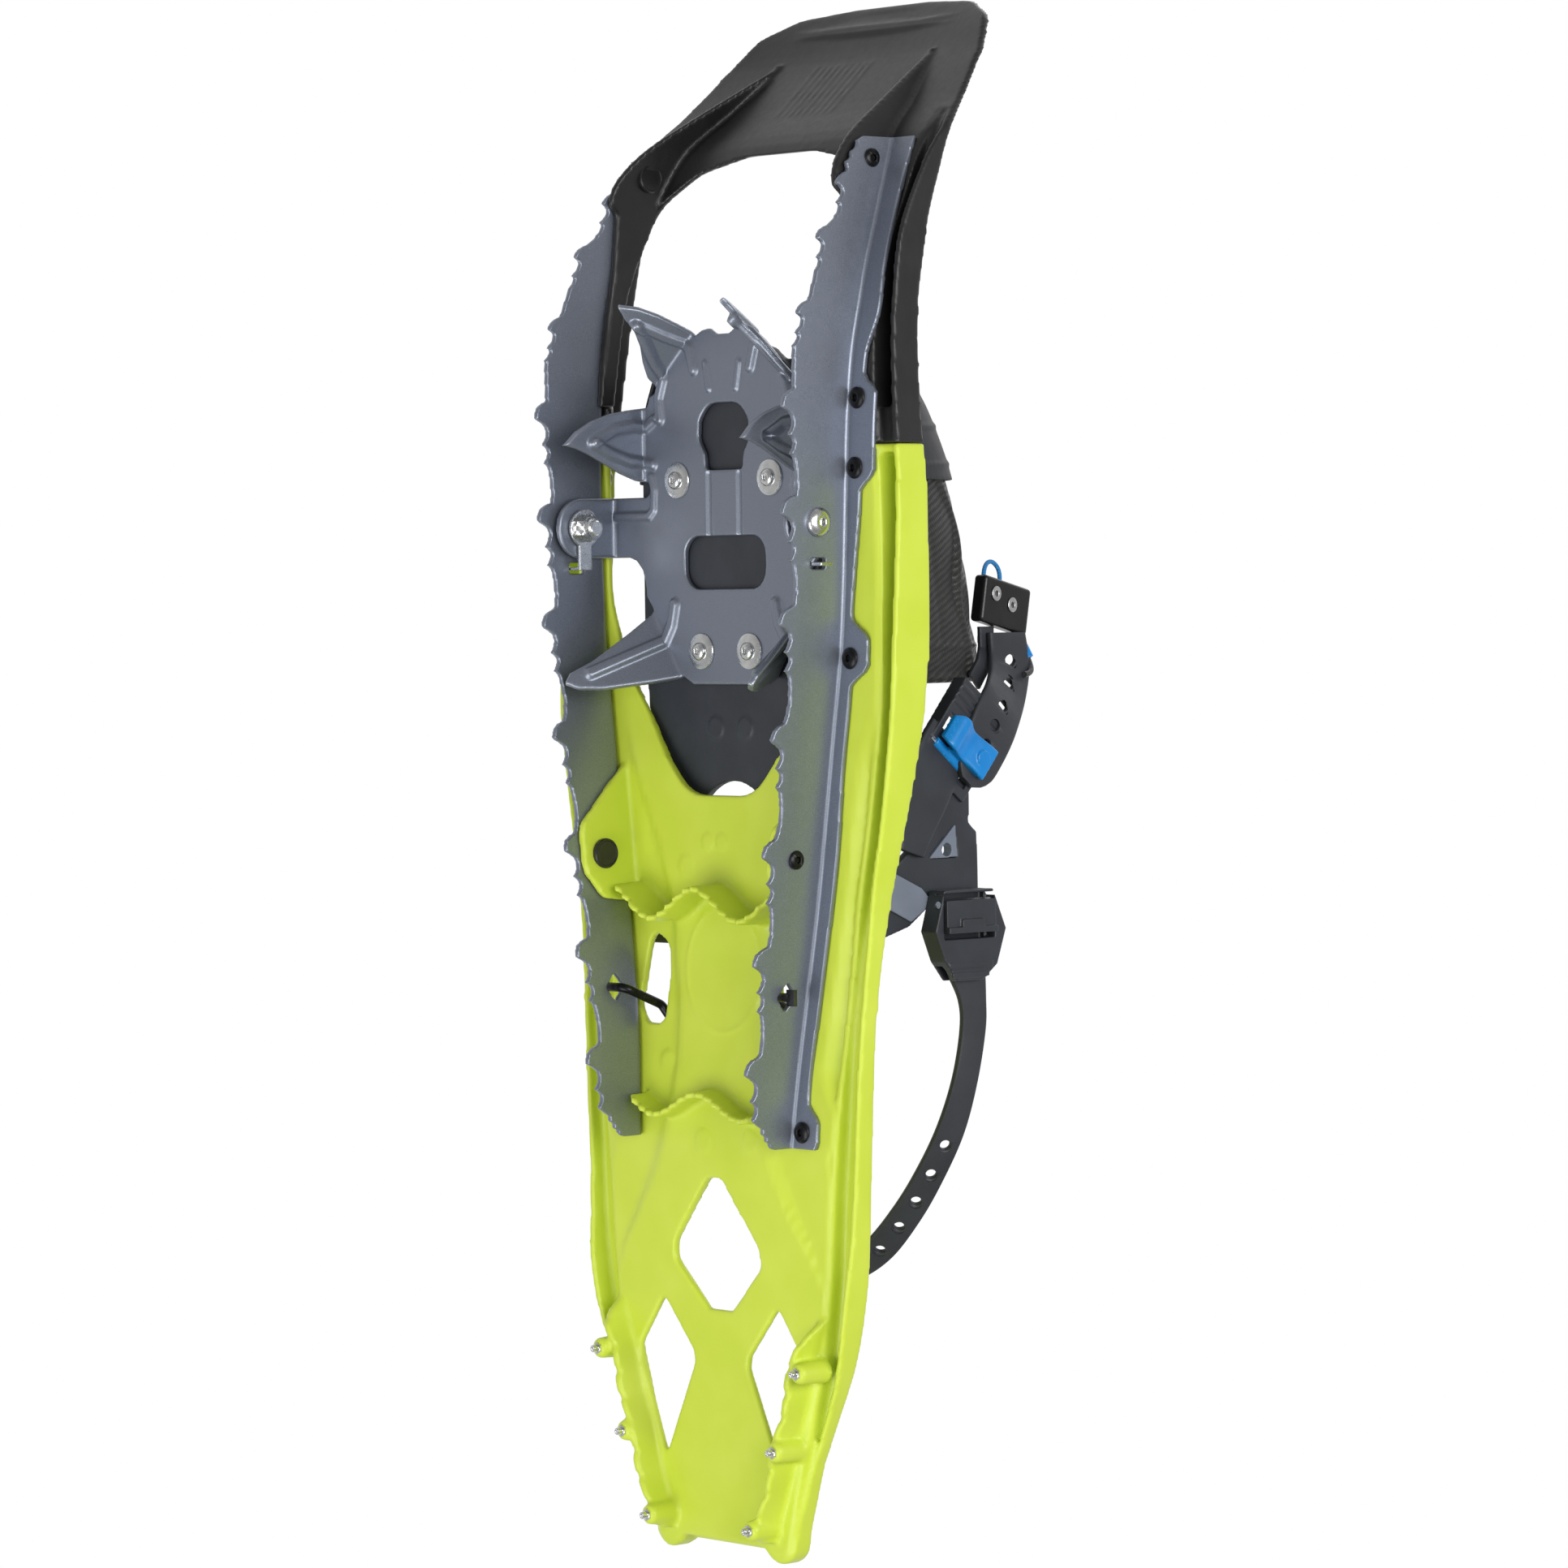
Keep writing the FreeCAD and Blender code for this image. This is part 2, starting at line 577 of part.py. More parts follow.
def make_cap_nuts():
    """Domed cap nuts on the far end of every rail screw."""
    shapes = []
    radius = dim("cap_radius")
    bore = dim("screw_radius") + 0.05
    for along, height in BLADE_SCREWS:
        face = cap_face(along)
        cap = rod(Vector(face, along, height), -X_AXIS, radius, 2.0)
        cap = cap.fuse(Part.makeCone(radius, radius * 0.7, 1.0, Vector(face - 2.0, along, height), -X_AXIS))
        shapes.append(cap.cut(rod(Vector(face + 1, along, height), -X_AXIS, bore, 4.6)))
    for x, y in FLANGE_SCREWS:
        base = interpolate(FLOOR_LINE, y) + dim("deck_skin") + 0.45
        cap = rod(Vector(x, y, base), Z_AXIS, radius * 0.8, 2.4)
        cap = cap.fuse(Part.makeCone(radius * 0.8, radius * 0.6, 1.2, Vector(x, y, base + 2.4), Z_AXIS))
        shapes.append(cap.cut(rod(Vector(x, y, base - 1), Z_AXIS, bore, 4.0)))
    return Part.makeCompound(shapes + [mirrored(shape) for shape in shapes])


add_feature("rail_screws", make_rail_screws())
add_feature("rail_cap_nuts", make_cap_nuts())


def make_studs():
    """Six hardened studs pressed into the bosses of the tail ribs."""
    shapes = []
    radius = dim("stud_radius")
    tip = dim("stud_tip")
    for x, y in STUDS:
        stud = rod(Vector(x, y, tip + 1.0), Z_AXIS, radius - 0.02, 21.0 - tip)
        stud = stud.fuse(Part.makeCone(radius * 0.7, radius - 0.02, 1.0, Vector(x, y, tip), Z_AXIS))
        collar = rod(Vector(x, y, 12.6), Z_AXIS, radius * 1.5, 1.35)
        shapes.append(stud.fuse(collar))
    return Part.makeCompound(shapes + [mirrored(shape) for shape in shapes])


add_feature("tail_studs", make_studs())


# ---------------------------------------------------------------------------
# Binding pivot: a bolt, bush, tab washer and lock nut on each side
# ---------------------------------------------------------------------------
BLADE_INNER = rail_x(PIVOT.y) - SHEET / 2
BLADE_OUTER = rail_x(PIVOT.y) + SHEET / 2
TAB_WASHER = 1.4


def pivot_body(label, side, steps):
    """A turned part on the pivot axis: (start, length, radius, bore) steps, outwards from x = 0."""
    body = new_body(label)
    for number, (start, length, radius, bore) in enumerate(steps):
        sketch = new_sketch(body, "%s_ring_%d" % (label, number), "YZ_Plane", "%s" % (side * start))
        add_circle(sketch, (PIVOT.y, PIVOT.z), radius)
        if bore is not None:
            add_circle(sketch, (PIVOT.y, PIVOT.z), bore)
        pad(body, sketch, "%s_step_%d" % (label, number), "%s" % length, reverse=side < 0)
    return body


for side_name, side in SIDES:
    pivot_body("pivot_bolt_" + side_name, side, [
        (57.4, BLADE_OUTER + 0.35 - 57.4, "dims.pivot_radius", None),
        (BLADE_OUTER + 0.35, 1.6, "dims.pivot_radius * 1.9", None),
        (BLADE_OUTER + 1.95, 1.0, "dims.pivot_radius * 1.3", None)])
    pivot_body("pivot_bush_" + side_name, side, [
        (dim("ear_inner") + dim("crampon_metal") + 0.3,
         BLADE_INNER - 0.45 - dim("ear_inner") - dim("crampon_metal") - 0.3,
         "dims.ear_radius * 0.6", "dims.pivot_radius + 0.05")])


def make_tab_washer():
    """Keyed washer whose bent tail passes through the blade, so the lock nut can't turn."""
    outer = dim("ear_inner") - 0.4
    inner = outer - TAB_WASHER
    disc = ring(Vector(inner, PIVOT.y, PIVOT.z), X_AXIS, 7.6, dim("pivot_radius") + 0.05, TAB_WASHER)
    tail_end = 84.2
    tail = Part.makeBox(TAB_WASHER, 94.5 - tail_end, 6.4, Vector(inner, tail_end, PIVOT.z - 3.2))
    tab = Part.makeBox(78.6 - inner, TAB_WASHER, 6.4, Vector(inner, tail_end, PIVOT.z - 3.2))
    return fuse_all([disc, tail, tab])


def make_lock_nut():
    """Hexagonal lock nut on the inner end of the pivot bolt."""
    face = dim("ear_inner") - 0.4 - TAB_WASHER - 0.05
    corners = []
    for corner in range(6):
        angle = math.radians(60 * corner + 15)
        corners.append((PIVOT.y + 5.8 * math.cos(angle), PIVOT.z + 5.8 * math.sin(angle)))
    nut = side_prism(corners, face - 4.2, face)
    collar = rod(Vector(face - 5.4, PIVOT.y, PIVOT.z), X_AXIS, 4.6, 1.3)
    return nut.fuse(collar).cut(rod(Vector(face - 8, PIVOT.y, PIVOT.z), X_AXIS, dim("pivot_radius") + 0.02, 12))


for side_name, side in SIDES:
    for label, shape in (("pivot_tab_washer_", make_tab_washer()), ("pivot_lock_nut_", make_lock_nut())):
        add_feature(label + side_name, shape if side > 0 else mirrored(shape))

# ---------------------------------------------------------------------------
# Crampon: one pressed plate with six claws and two pivot ears
# ---------------------------------------------------------------------------
PLATE = dim("crampon_height")
METAL = dim("crampon_metal")
EAR = dim("ear_inner")
RIVETS = [(27.6, 119.3), (14.3, 51.3)]


def flat_claw(points):
    """One flat claw: the plane holds both ends of the fold and the tip, the fourth point."""
    fold_start, fold_end, tip = points[0], points[1], points[3]
    normal = (fold_end - fold_start).cross(tip - fold_start)
    normal.normalize()
    corners = [point - normal * normal.dot(point - fold_start) for point in points]
    inward = METAL if normal.x < 0 else -METAL
    return Part.Face(Part.makePolygon(corners + [corners[0]])).extrude(normal * inward)


def make_crampon():
    half = [(9.0, 38.2), (20.0, 38.2), (26.5, 42.0), (43.5, 68.5), (49.0, 74.0), (47.0, 81.0), (46.0, 89.0),
            (EAR + METAL, 89.0), (EAR + METAL, 113.0), (44.5, 113.0), (44.5, 119.0), (48.5, 132.0),
            (47.5, 148.0), (40.5, 155.0), (27.5, 160.0), (17.0, 176.5), (8.0, 179.0), (3.0, 176.0)]
    plate = plan_prism(full_outline(half), PLATE, PLATE + METAL)
    keyhole = [(-15.5, 123.0), (15.5, 123.0), (15.5, 138.0), (9.0, 147.0), (-9.0, 147.0), (-15.5, 138.0)]
    plate = plate.cut(plan_prism(keyhole, 0, 60))
    grip_hole = plan_prism([(-13, 75.5), (13, 75.5), (23.5, 81), (23.5, 91.5), (13, 97), (-13, 97),
                            (-23.5, 91.5), (-23.5, 81)], 0, 60)
    plate = plate.cut(grip_hole)
    wall_low = PIVOT.z
    ear = Part.makeBox(METAL, 24.0, PLATE + METAL - wall_low, Vector(EAR, 89.0, wall_low))
    ear = ear.fuse(rod(Vector(EAR, PIVOT.y, PIVOT.z), X_AXIS, dim("ear_radius"), METAL))
    # Claws: the two ends of the fold on the plate, then the outline down to the tip and back.
    top = PLATE + METAL / 2
    claws = [
        [(17.0, 176.0, top), (40.0, 155.5, top), (35.0, 168.0, 22.0), (30.0, 187.4, 6.0), (22.0, 182.0, 22.0)],
        [(46.0, 149.0, top), (46.0, 119.0, top), (50.5, 124.0, 18.0), (52.0, 133.6, 1.0), (49.5, 142.0, 18.0)],
        [(43.5, 68.0, top), (26.0, 41.5, top), (40.0, 40.0, 16.0), (52.5, 41.0, 1.0), (51.0, 52.0, 12.0)],
    ]
    claw_shapes = [flat_claw([Vector(*point) for point in points]) for points in claws]
    right = fuse_all([ear] + claw_shapes)
    shape = fuse_all([plate, right, mirrored(right)])
    for sign in (-1, 1):
        shape = shape.cut(rod(Vector(sign * 50, PIVOT.y, PIVOT.z), X_AXIS * sign,
                              dim("pivot_radius") + dim("running_gap"), 30))
        for x, y in RIVETS:
            shape = shape.cut(rod(Vector(sign * x, y, 0), Z_AXIS, dim("rivet_radius") + 0.05, 60))
    return shape


add_feature("crampon", make_crampon())


def make_washers():
    shapes = []
    for x, y in RIVETS:
        washer = ring(Vector(x, y, PLATE - 1.25), Z_AXIS, dim("washer_radius"), dim("rivet_radius") + 0.05, 1.2)
        shapes.append(washer)
    return Part.makeCompound(shapes + [mirrored(shape) for shape in shapes])


def make_rivets():
    """Socket rivets that clamp the crampon to the footbed."""
    shapes = []
    radius = dim("rivet_radius")
    head = dim("rivet_head")
    top = dim("footbed_height") + dim("footbed_skin")
    for x, y in RIVETS:
        rivet = rod(Vector(x, y, PLATE - 1.3), Z_AXIS, radius, top + 0.1 - PLATE + 1.3)
        rivet = rivet.fuse(rod(Vector(x, y, PLATE - 1.3), -Z_AXIS, head, 1.0))
        rivet = rivet.fuse(Part.makeCone(head, head * 0.6, 0.8, Vector(x, y, PLATE - 2.3), -Z_AXIS))
        rivet = rivet.fuse(rod(Vector(x, y, top + 0.05), Z_AXIS, head * 1.2, 1.0))
        shapes.append(rivet.cut(rod(Vector(x, y, PLATE - 4), Z_AXIS, 1.3, 2.4)))
    return Part.makeCompound(shapes + [mirrored(shape) for shape in shapes])


add_feature("crampon_washers", make_washers())
add_feature("crampon_rivets", make_rivets())

# ---------------------------------------------------------------------------
# Footbed
# ---------------------------------------------------------------------------
FOOT_HALF = [(-76.0, 22.0), (-72.0, 31.0), (-60.0, 35.5), (-30.0, 41.0), (0.0, 45.0), (30.0, 50.0),
             (60.0, 52.0), (120.0, 52.0), (145.0, 47.0), (160.0, 39.0), (170.0, 26.0), (174.0, 12.0)]
footbed = new_body("footbed")
footbed_outline = new_sketch(footbed, "footbed_outline", "XY_Plane", "dims.footbed_height")
add_polygon(footbed_outline, full_outline([(x, y) for y, x in FOOT_HALF]))
pad(footbed, footbed_outline, "footbed_plate", "dims.footbed_skin")
footbed_holes = new_sketch(footbed, "footbed_holes", "XY_Plane", "dims.footbed_height")
add_circle(footbed_holes, (0.0, -24.0), "24.0")
for x, y in RIVETS:
    for sign in (-1, 1):
        add_circle(footbed_holes, (sign * x, y), "dims.rivet_radius + 0.05")
pocket(footbed, footbed_holes, "footbed_openings", "dims.footbed_skin + 2", reverse=True)

heel_pad = new_body("heel_pad")
pad_outline = new_sketch(heel_pad, "pad_outline", "XY_Plane", "dims.footbed_height + dims.footbed_skin + 0.1")
add_polygon(pad_outline, [(-14, -75), (14, -75), (22, -72), (25, -64), (25, -52), (-25, -52), (-25, -64), (-22, -72)])
pad(heel_pad, pad_outline, "pad_block", "2.6")

# ---------------------------------------------------------------------------
# Forefoot wrap: a padded arch over the forefoot, open at the toe and behind
# ---------------------------------------------------------------------------
FOOT_TOP = dim("footbed_height") + dim("footbed_skin") + 0.1
# Along the shoe, half width and height of the arch.
WRAP_STATIONS = [(163.0, 47.0, 108.0), (145.0, 54.0, 118.0), (118.0, 57.0, 130.0), (90.0, 57.0, 139.0),
                 (60.0, 57.0, 146.0), (38.0, 55.0, 150.0)]
WRAP_SKIN = 5.0


def arch_section(along, half, top, skin):
    """Closed horseshoe outline across the shoe."""
    steps = 12
    outline = []
    for scale, order in ((0.0, 1), (skin, -1)):
        arc = []
        for step in range(steps + 1):
            angle = math.pi * step / steps
            x = (half - scale) * math.copysign(abs(math.cos(angle)) ** 0.62, math.cos(angle))
            z = FOOT_TOP + (top - FOOT_TOP - scale) * math.sin(angle) ** 0.75
            arc.append(Vector(x, along, z))
        outline += arc if order > 0 else list(reversed(arc))
    return Part.makePolygon(outline + outline[:1])


def make_arch(stations, skin, grow):
    sections = [arch_section(y, half + grow, top + grow, skin) for y, half, top in stations]
    return Part.makeLoft(sections, True, True)


add_feature("forefoot_wrap", make_arch(WRAP_STATIONS, WRAP_SKIN, 0.0))
rim_stations = [(y, half, top) for y, half, top in WRAP_STATIONS if y > 115]
toe_rim = make_arch(rim_stations, 2.4, 2.6)
wedge = side_prism([(110, 30), (121, 30), (128, 100), (150, 90), (170, 90), (170, 200), (110, 200)], -80, 80)
toe_rim = toe_rim.common(wedge.fuse(side_prism([(120, 30), (170, 30), (170, 92), (128, 100)], -80, 80)))
add_feature("toe_rim", toe_rim)

# ---------------------------------------------------------------------------
# Lace block over the instep, its eyelets, the lace and the pull cord
# ---------------------------------------------------------------------------
BLOCK_CENTRE = Vector(-40.5, 68.0, 151.0)


def make_lace_block():
    block = Part.makeBox(7.0, 19.0, 32.0, Vector(-3.5, -9.5, -16.0))
    block = block.makeFillet(1.6, block.Edges)
    for height in (-8.0, 3.5):
        block = block.cut(rod(Vector(-10, 1.5 - height * 0.2, height), X_AXIS, 2.0, 20))
    return block


block_tilt = Placement(BLOCK_CENTRE, Rotation(X_AXIS, 12))
add_feature("lace_block", make_lace_block(), block_tilt)


def make_eyelets():
    shapes = []
    for height in (-8.0, 3.5):
        place = Vector(-3.6, 1.5 - height * 0.2, height)
        eyelet = ring(place, X_AXIS, 1.9, 1.2, 7.2)
        flange = ring(place - Vector(0.5, 0, 0), X_AXIS, 3.0, 1.2, 0.45)
        shapes.append(eyelet.fuse(flange))
    return Part.makeCompound(shapes)


add_feature("block_eyelets", make_eyelets(), block_tilt)

LACE = [(-40.0, 80.2, 140.3), (-39.6, 84.2, 141.2), (-39.0, 86.2, 147.0), (-39.6, 82.0, 151.9),
        (-40.0, 78.0, 151.1)]
LACE_RADII = [2.4, 4.0, 2.4]
LACE_RADIUS = 0.9
PULL = [(-40.0, 55.0, 162.4), (-41.0, 52.6, 163.6), (-45.0, 44.6, 165.2), (-49.0, 40.4, 161.6),
        (-49.6, 40.0, 156.0)]
PULL_RADII = [4.5, 4.5, 5.5]
PULL_RADIUS = 1.2
SLEEVE_LENGTH = 5.4


def report_cord(label, points, radii, radius):
    """Print a cord's radii and compare its tube's volume with its section times its length."""
    path = rounded_path(points, radii)
    shape = tube(points, radii, radius)
    expected = math.pi * radius ** 2 * path.Length
    print("%s: length %.1f, radii %s, volume %.1f of %.1f" % (label, path.Length, radii, shape.Volume, expected))
    return shape


lace_points = [Vector(*point) for point in LACE]
pull_points = [Vector(*point) for point in PULL]
add_feature("lace", report_cord("lace", lace_points, LACE_RADII, LACE_RADIUS))
add_feature("pull_cord", report_cord("pull_cord", pull_points, PULL_RADII, PULL_RADIUS))
sleeve_run = pull_points[2] - pull_points[1]
sleeve_middle = (pull_points[1] + pull_points[2]) * 0.5
sleeve_axis = Vector(sleeve_run).normalize()
add_feature("pull_sleeve", ring(sleeve_middle - sleeve_axis * (SLEEVE_LENGTH / 2), sleeve_axis,
                                2.7, PULL_RADIUS + 0.3, SLEEVE_LENGTH))

# ---------------------------------------------------------------------------
# Instep straps, cam buckle and lever
# ---------------------------------------------------------------------------
OUT = -X_AXIS


def strap_station(place, run, width, skin="strap_skin"):
    """A ribbon station whose width lies across its run."""
    across = Vector(*run).cross(OUT)
    return Vector(*place), across, OUT, width, dim(skin)


INSTEP = [((-43.5, 56.0, 150.0), (0, -1, 0.05), 21.0), ((-45.0, 46.0, 149.0), (0, -1, -0.2), 22.0),
          ((-47.7, 36.5, 142.0), (0, -1, -0.6), 22.5), ((-50.0, 27.5, 130.0), (0, -0.9, -1.0), 23.0),
          ((-51.9, 18.5, 120.8), (0, -0.766, -0.67), 23.0), ((-51.9, 4.9, 109.4), (0, -0.766, -0.643), 23.0)]
instep = ribbon([strap_station(*station) for station in INSTEP])
for place, run, width in INSTEP[1:5]:
    hole = rod(Vector(*place) + Vector(8, 0, 0), OUT, 2.4, 16)
    instep = instep.cut(hole)
add_feature("instep_strap", instep)

INNER_STRAP = [((-40.5, 59.5, 138.5), (0, -1, 0.0), 8.0), ((-41.0, 50.0, 138.0), (0, -1, -0.4), 8.0),
               ((-44.2, 43.5, 132.5), (0, -0.8, -1.0), 8.0), ((-46.3, 37.5, 126.0), (0, -0.8, -1.0), 8.0)]
add_feature("inner_strap", ribbon([strap_station(*station, "inner_strap_skin") for station in INNER_STRAP]))

BUCKLE_PLACE = Placement(Vector(-53.0, 8.0, 112.0), Rotation(X_AXIS, 40))


def make_cam_buckle():
    """Open frame that the instep strap runs through; its local y is the strap's direction."""
    frame = Part.makeBox(7.0, 40.0, 30.0, Vector(-4.4, -16.0, -15.0))
    frame = frame.cut(Part.makeBox(4.2, 60.0, 24.4, Vector(-0.6, -30.0, -12.2)))
    frame = frame.cut(Part.makeBox(6.0, 19.5, 24.4, Vector(-6.0, -11.5, -12.2)))
    return frame.cut(rod(Vector(-3.0, -6.0, -20), Z_AXIS, dim("lever_pin") + 0.06, 40))


LEVER_HINGE = Vector(-3.0, -6.0, 0.0)


def make_cam_lever():
    """Thumb lever with a cam nose that grips the strap when it is shut."""
    blade = Part.makeBox(2.4, 13.0, 23.6, Vector(-6.6, -8.0, -11.8))
    nose = rod(LEVER_HINGE - Vector(0, 0, 11.8), Z_AXIS, 2.3, 23.6)
    blade = blade.fuse(nose).fuse(Part.makeBox(2.2, 3.2, 23.6, Vector(-6.2, -7.6, -11.8)))
    return blade.cut(rod(LEVER_HINGE - Vector(0, 0, 20), Z_AXIS, dim("lever_pin") + 0.02, 40))


add_feature("cam_buckle", make_cam_buckle(), BUCKLE_PLACE)
add_feature("cam_lever", make_cam_lever(), BUCKLE_PLACE)
add_feature("cam_pin", rod(LEVER_HINGE - Vector(0, 0, 14.6), Z_AXIS, dim("lever_pin"), 29.2), BUCKLE_PLACE)

# ---------------------------------------------------------------------------
# Heel stirrup: a base under the heel with an arm up each side
# ---------------------------------------------------------------------------
ARM_IN = dim("arm_inner")
ARM = dim("arm_skin")
BASE = dim("footbed_height") + dim("footbed_skin") + 0.1
OUTER_ARM = [(-44.0, BASE), (-66.0, BASE), (-66.0, 52.0), (-58.0, 80.0), (-47.0, 96.0), (-46.0, 118.0),
             (-22.0, 117.5), (-17.0, 112.0), (-13.0, 104.0), (-14.5, 96.0), (-26.0, 84.0), (-36.0, 70.0),
             (-43.0, 52.0)]
INNER_ARM = [(-44.0, BASE), (-66.0, BASE), (-66.0, 52.0), (-62.0, 74.0), (-60.0, 92.0), (-50.0, 100.0),
             (-26.0, 106.0), (-14.0, 106.0), (-10.0, 100.0), (-14.0, 94.0), (-28.0, 84.0), (-38.0, 70.0),
             (-43.0, 52.0)]
ARM_WINDOW = [(-18.0, 105.5), (-31.5, 106.5), (-31.5, 90.5)]
STIRRUP_RIVETS = [(29.0, -48.0), (28.5, -58.5)]


def make_stirrup():
    base = Part.makeBox(2 * (ARM_IN + ARM), 22.0, 3.0, Vector(-ARM_IN - ARM, -66.0, BASE))
    base = base.cut(Part.makeBox(51.0, 30.0, 6.0, Vector(-25.5, -74.5, BASE - 1)))
    base = base.cut(rod(Vector(0, -24, BASE - 1), Z_AXIS, 24.4, 8))
    bridge = Part.makeBox(60.0, 3.4, 2.6, Vector(-30.0, -51.6, BASE))
    outer = side_prism(OUTER_ARM, -ARM_IN - ARM, -ARM_IN)
    outer = outer.cut(side_prism(ARM_WINDOW, -ARM_IN - ARM - 1, -ARM_IN + 1))
    inner = side_prism(INNER_ARM, ARM_IN, ARM_IN + ARM)
    shape = fuse_all([base, bridge, outer, inner])
    for x, y in STIRRUP_RIVETS:
        for sign in (-1, 1):
            shape = shape.cut(rod(Vector(sign * x, y, BASE - 2), Z_AXIS, 1.6, 10))
    return shape


def make_stirrup_rivets():
    shapes = []
    for x, y in STIRRUP_RIVETS:
        rivet = rod(Vector(x, y, BASE + 0.2), Z_AXIS, 1.55, 2.9)
        rivet = rivet.fuse(rod(Vector(x, y, BASE + 3.05), Z_AXIS, 3.2, 1.0))
        shapes.append(rivet)
    return Part.makeCompound(shapes + [mirrored(shape) for shape in shapes])


def make_arm_inserts():
    """Soft inserts moulded into the window of the outer arm and along its lower edge."""
    window = side_prism([(-18.4, 105.3), (-31.3, 106.3), (-31.3, 91.2)], -ARM_IN - ARM - 0.4, -ARM_IN + 0.4)
    eye = rod(Vector(-80, -28.4, 100.5), X_AXIS, 2.6, 60)
    arc = side_prism([(-36.0, 70.4), (-43.0, 86.0), (-49.0, 92.0), (-56.0, 80.0), (-45.0, 56.0)],
                     -ARM_IN - ARM - 1.3, -ARM_IN - ARM - 0.05)
    return Part.makeCompound([window.cut(eye), arc])


add_feature("heel_stirrup", make_stirrup())
add_feature("stirrup_rivets", make_stirrup_rivets())
add_feature("arm_inserts", make_arm_inserts())

# ---------------------------------------------------------------------------
# Heel buckle, latch and strap
# ---------------------------------------------------------------------------
BUCKLE_X = -ARM_IN - ARM - 1.4


def make_heel_buckle():
    outline = [(-44.0, 97.5), (-44.0, 124.0), (-60.0, 131.0), (-74.0, 126.0), (-80.0, 118.0), (-80.0, 104.0),
               (-72.0, 97.5), (-60.0, 92.5)]
    body = side_prism(outline, BUCKLE_X - 9.0, BUCKLE_X)
    body = body.cut(Part.makeBox(4.0, 60.0, 24.0, Vector(BUCKLE_X - 5.5, -95.0, 99.5)))
    body = body.cut(Part.makeBox(6.2, 18.1, 27.6, Vector(BUCKLE_X - 10.0, -63.3, 97.2)))
    return body.cut(rod(LATCH_HINGE - Vector(0, 0, 30), Z_AXIS, dim("lever_pin") + 0.06, 60))


LATCH_HINGE = Vector(BUCKLE_X - 6.6, -49.6, 111.0)


def make_heel_latch():
    """Latch plate that swings outwards and lets the strap slide."""
    blade = Part.makeBox(2.4, 12.9, 26.8, Vector(LATCH_HINGE.x - 3.6, -60.9, 97.6))
    nose = rod(LATCH_HINGE - Vector(0, 0, 13.4), Z_AXIS, 2.2, 26.8)
    step = Part.makeBox(1.4, 2.4, 26.8, Vector(LATCH_HINGE.x - 5.0, -60.9, 97.6))
    shape = fuse_all([blade, nose, step])
    return shape.cut(rod(LATCH_HINGE - Vector(0, 0, 30), Z_AXIS, dim("lever_pin") + 0.02, 60))


add_feature("heel_buckle", make_heel_buckle())
add_feature("heel_latch", make_heel_latch())
add_feature("heel_latch_pin", rod(LATCH_HINGE - Vector(0, 0, 14.8), Z_AXIS, dim("lever_pin"), 29.6))

# Centre line, outward side and width of the heel strap, from the buckle round the heel.
STRAP_X = BUCKLE_X - 3.5
HEEL_STRAP = [((STRAP_X, -66.0, 111.5), (-1, 0, 0), 20.5), ((STRAP_X - 0.5, -82.0, 111.5), (-1, 0, 0), 20.5),
              ((-60.0, -100.0, 110.5), (-1, -0.12, 0), 18.0), ((-57.5, -120.0, 108.0), (-1, -0.25, 0), 14.5),
              ((-52.5, -140.0, 104.0), (-1, -0.4, 0), 13.0), ((-45.0, -158.0, 99.5), (-1, -0.65, 0), 13.0),
              ((-34.0, -175.0, 94.5), (-0.9, -1, 0), 13.0), ((-19.0, -189.0, 89.5), (-0.55, -1, 0), 13.0),
              ((0.0, -195.0, 85.5), (0, -1, 0), 13.0), ((19.0, -189.0, 82.5), (0.55, -1, 0), 13.0),
              ((34.0, -175.0, 80.5), (0.9, -1, 0), 13.5), ((45.0, -157.0, 79.5), (1, -0.6, 0), 14.5),
              ((52.5, -137.0, 79.5), (1, -0.35, 0), 16.0), ((56.5, -115.0, 80.5), (1, -0.18, 0), 18.0),
              ((57.8, -90.0, 82.5), (1, -0.02, 0), 20.0), ((57.8, -60.0, 86.0), (1, 0, 0), 20.0)]


def make_heel_strap():
    stations = []
    for place, outward, width in HEEL_STRAP:
        stations.append((Vector(*place), Z_AXIS, Vector(*outward), width, dim("strap_skin")))
    strap = ribbon(stations)
    for place, outward, width in HEEL_STRAP[3:11]:
        direction = Vector(*outward).normalize()
        strap = strap.cut(rod(Vector(*place) - direction * 6, direction, 2.3, 12))
    return strap


add_feature("heel_strap", make_heel_strap())
strap_rivet = rod(Vector(ARM_IN + ARM + 0.1, -58.0, 86.0), X_AXIS, 1.5, 4.4)
strap_rivet = strap_rivet.fuse(rod(Vector(ARM_IN + ARM + 3.5, -58.0, 86.0), X_AXIS, 4.0, 1.2))
nodes[-1].Shape = nodes[-1].Shape.cut(rod(Vector(40, -58.0, 86.0), X_AXIS, 1.6, 40))
add_feature("strap_rivet", strap_rivet)

# ---------------------------------------------------------------------------
# Heel lift: a bent wire bail with flattened ends, stowed towards the tail
# ---------------------------------------------------------------------------
LIFT_PATH = [(55.5, LIFT.y, LIFT.z), (43.0, LIFT.y, LIFT.z), (39.5, -90.0, 33.0), (35.5, -99.0, 37.2),
             (33.0, -152.0, 34.4)]
LIFT_RADII = [4.0, 4.0, 6.0, 7.0]


def make_heel_lift():
    right = [Vector(*point) for point in LIFT_PATH]
    left = [Vector(-point.x, point.y, point.z) for point in reversed(right)]
    radii = LIFT_RADII[:3] + [7.0, 7.0] + list(reversed(LIFT_RADII[:3]))
    wire = tube(right + left, radii, dim("wire_radius"))
    for sign in (-1, 1):
        start = 54.0 if sign > 0 else -58.2
        wire = wire.fuse(Part.makeBox(4.2, 6.4, 1.8, Vector(start, LIFT.y - 3.2, LIFT.z - 0.9)))
    return wire


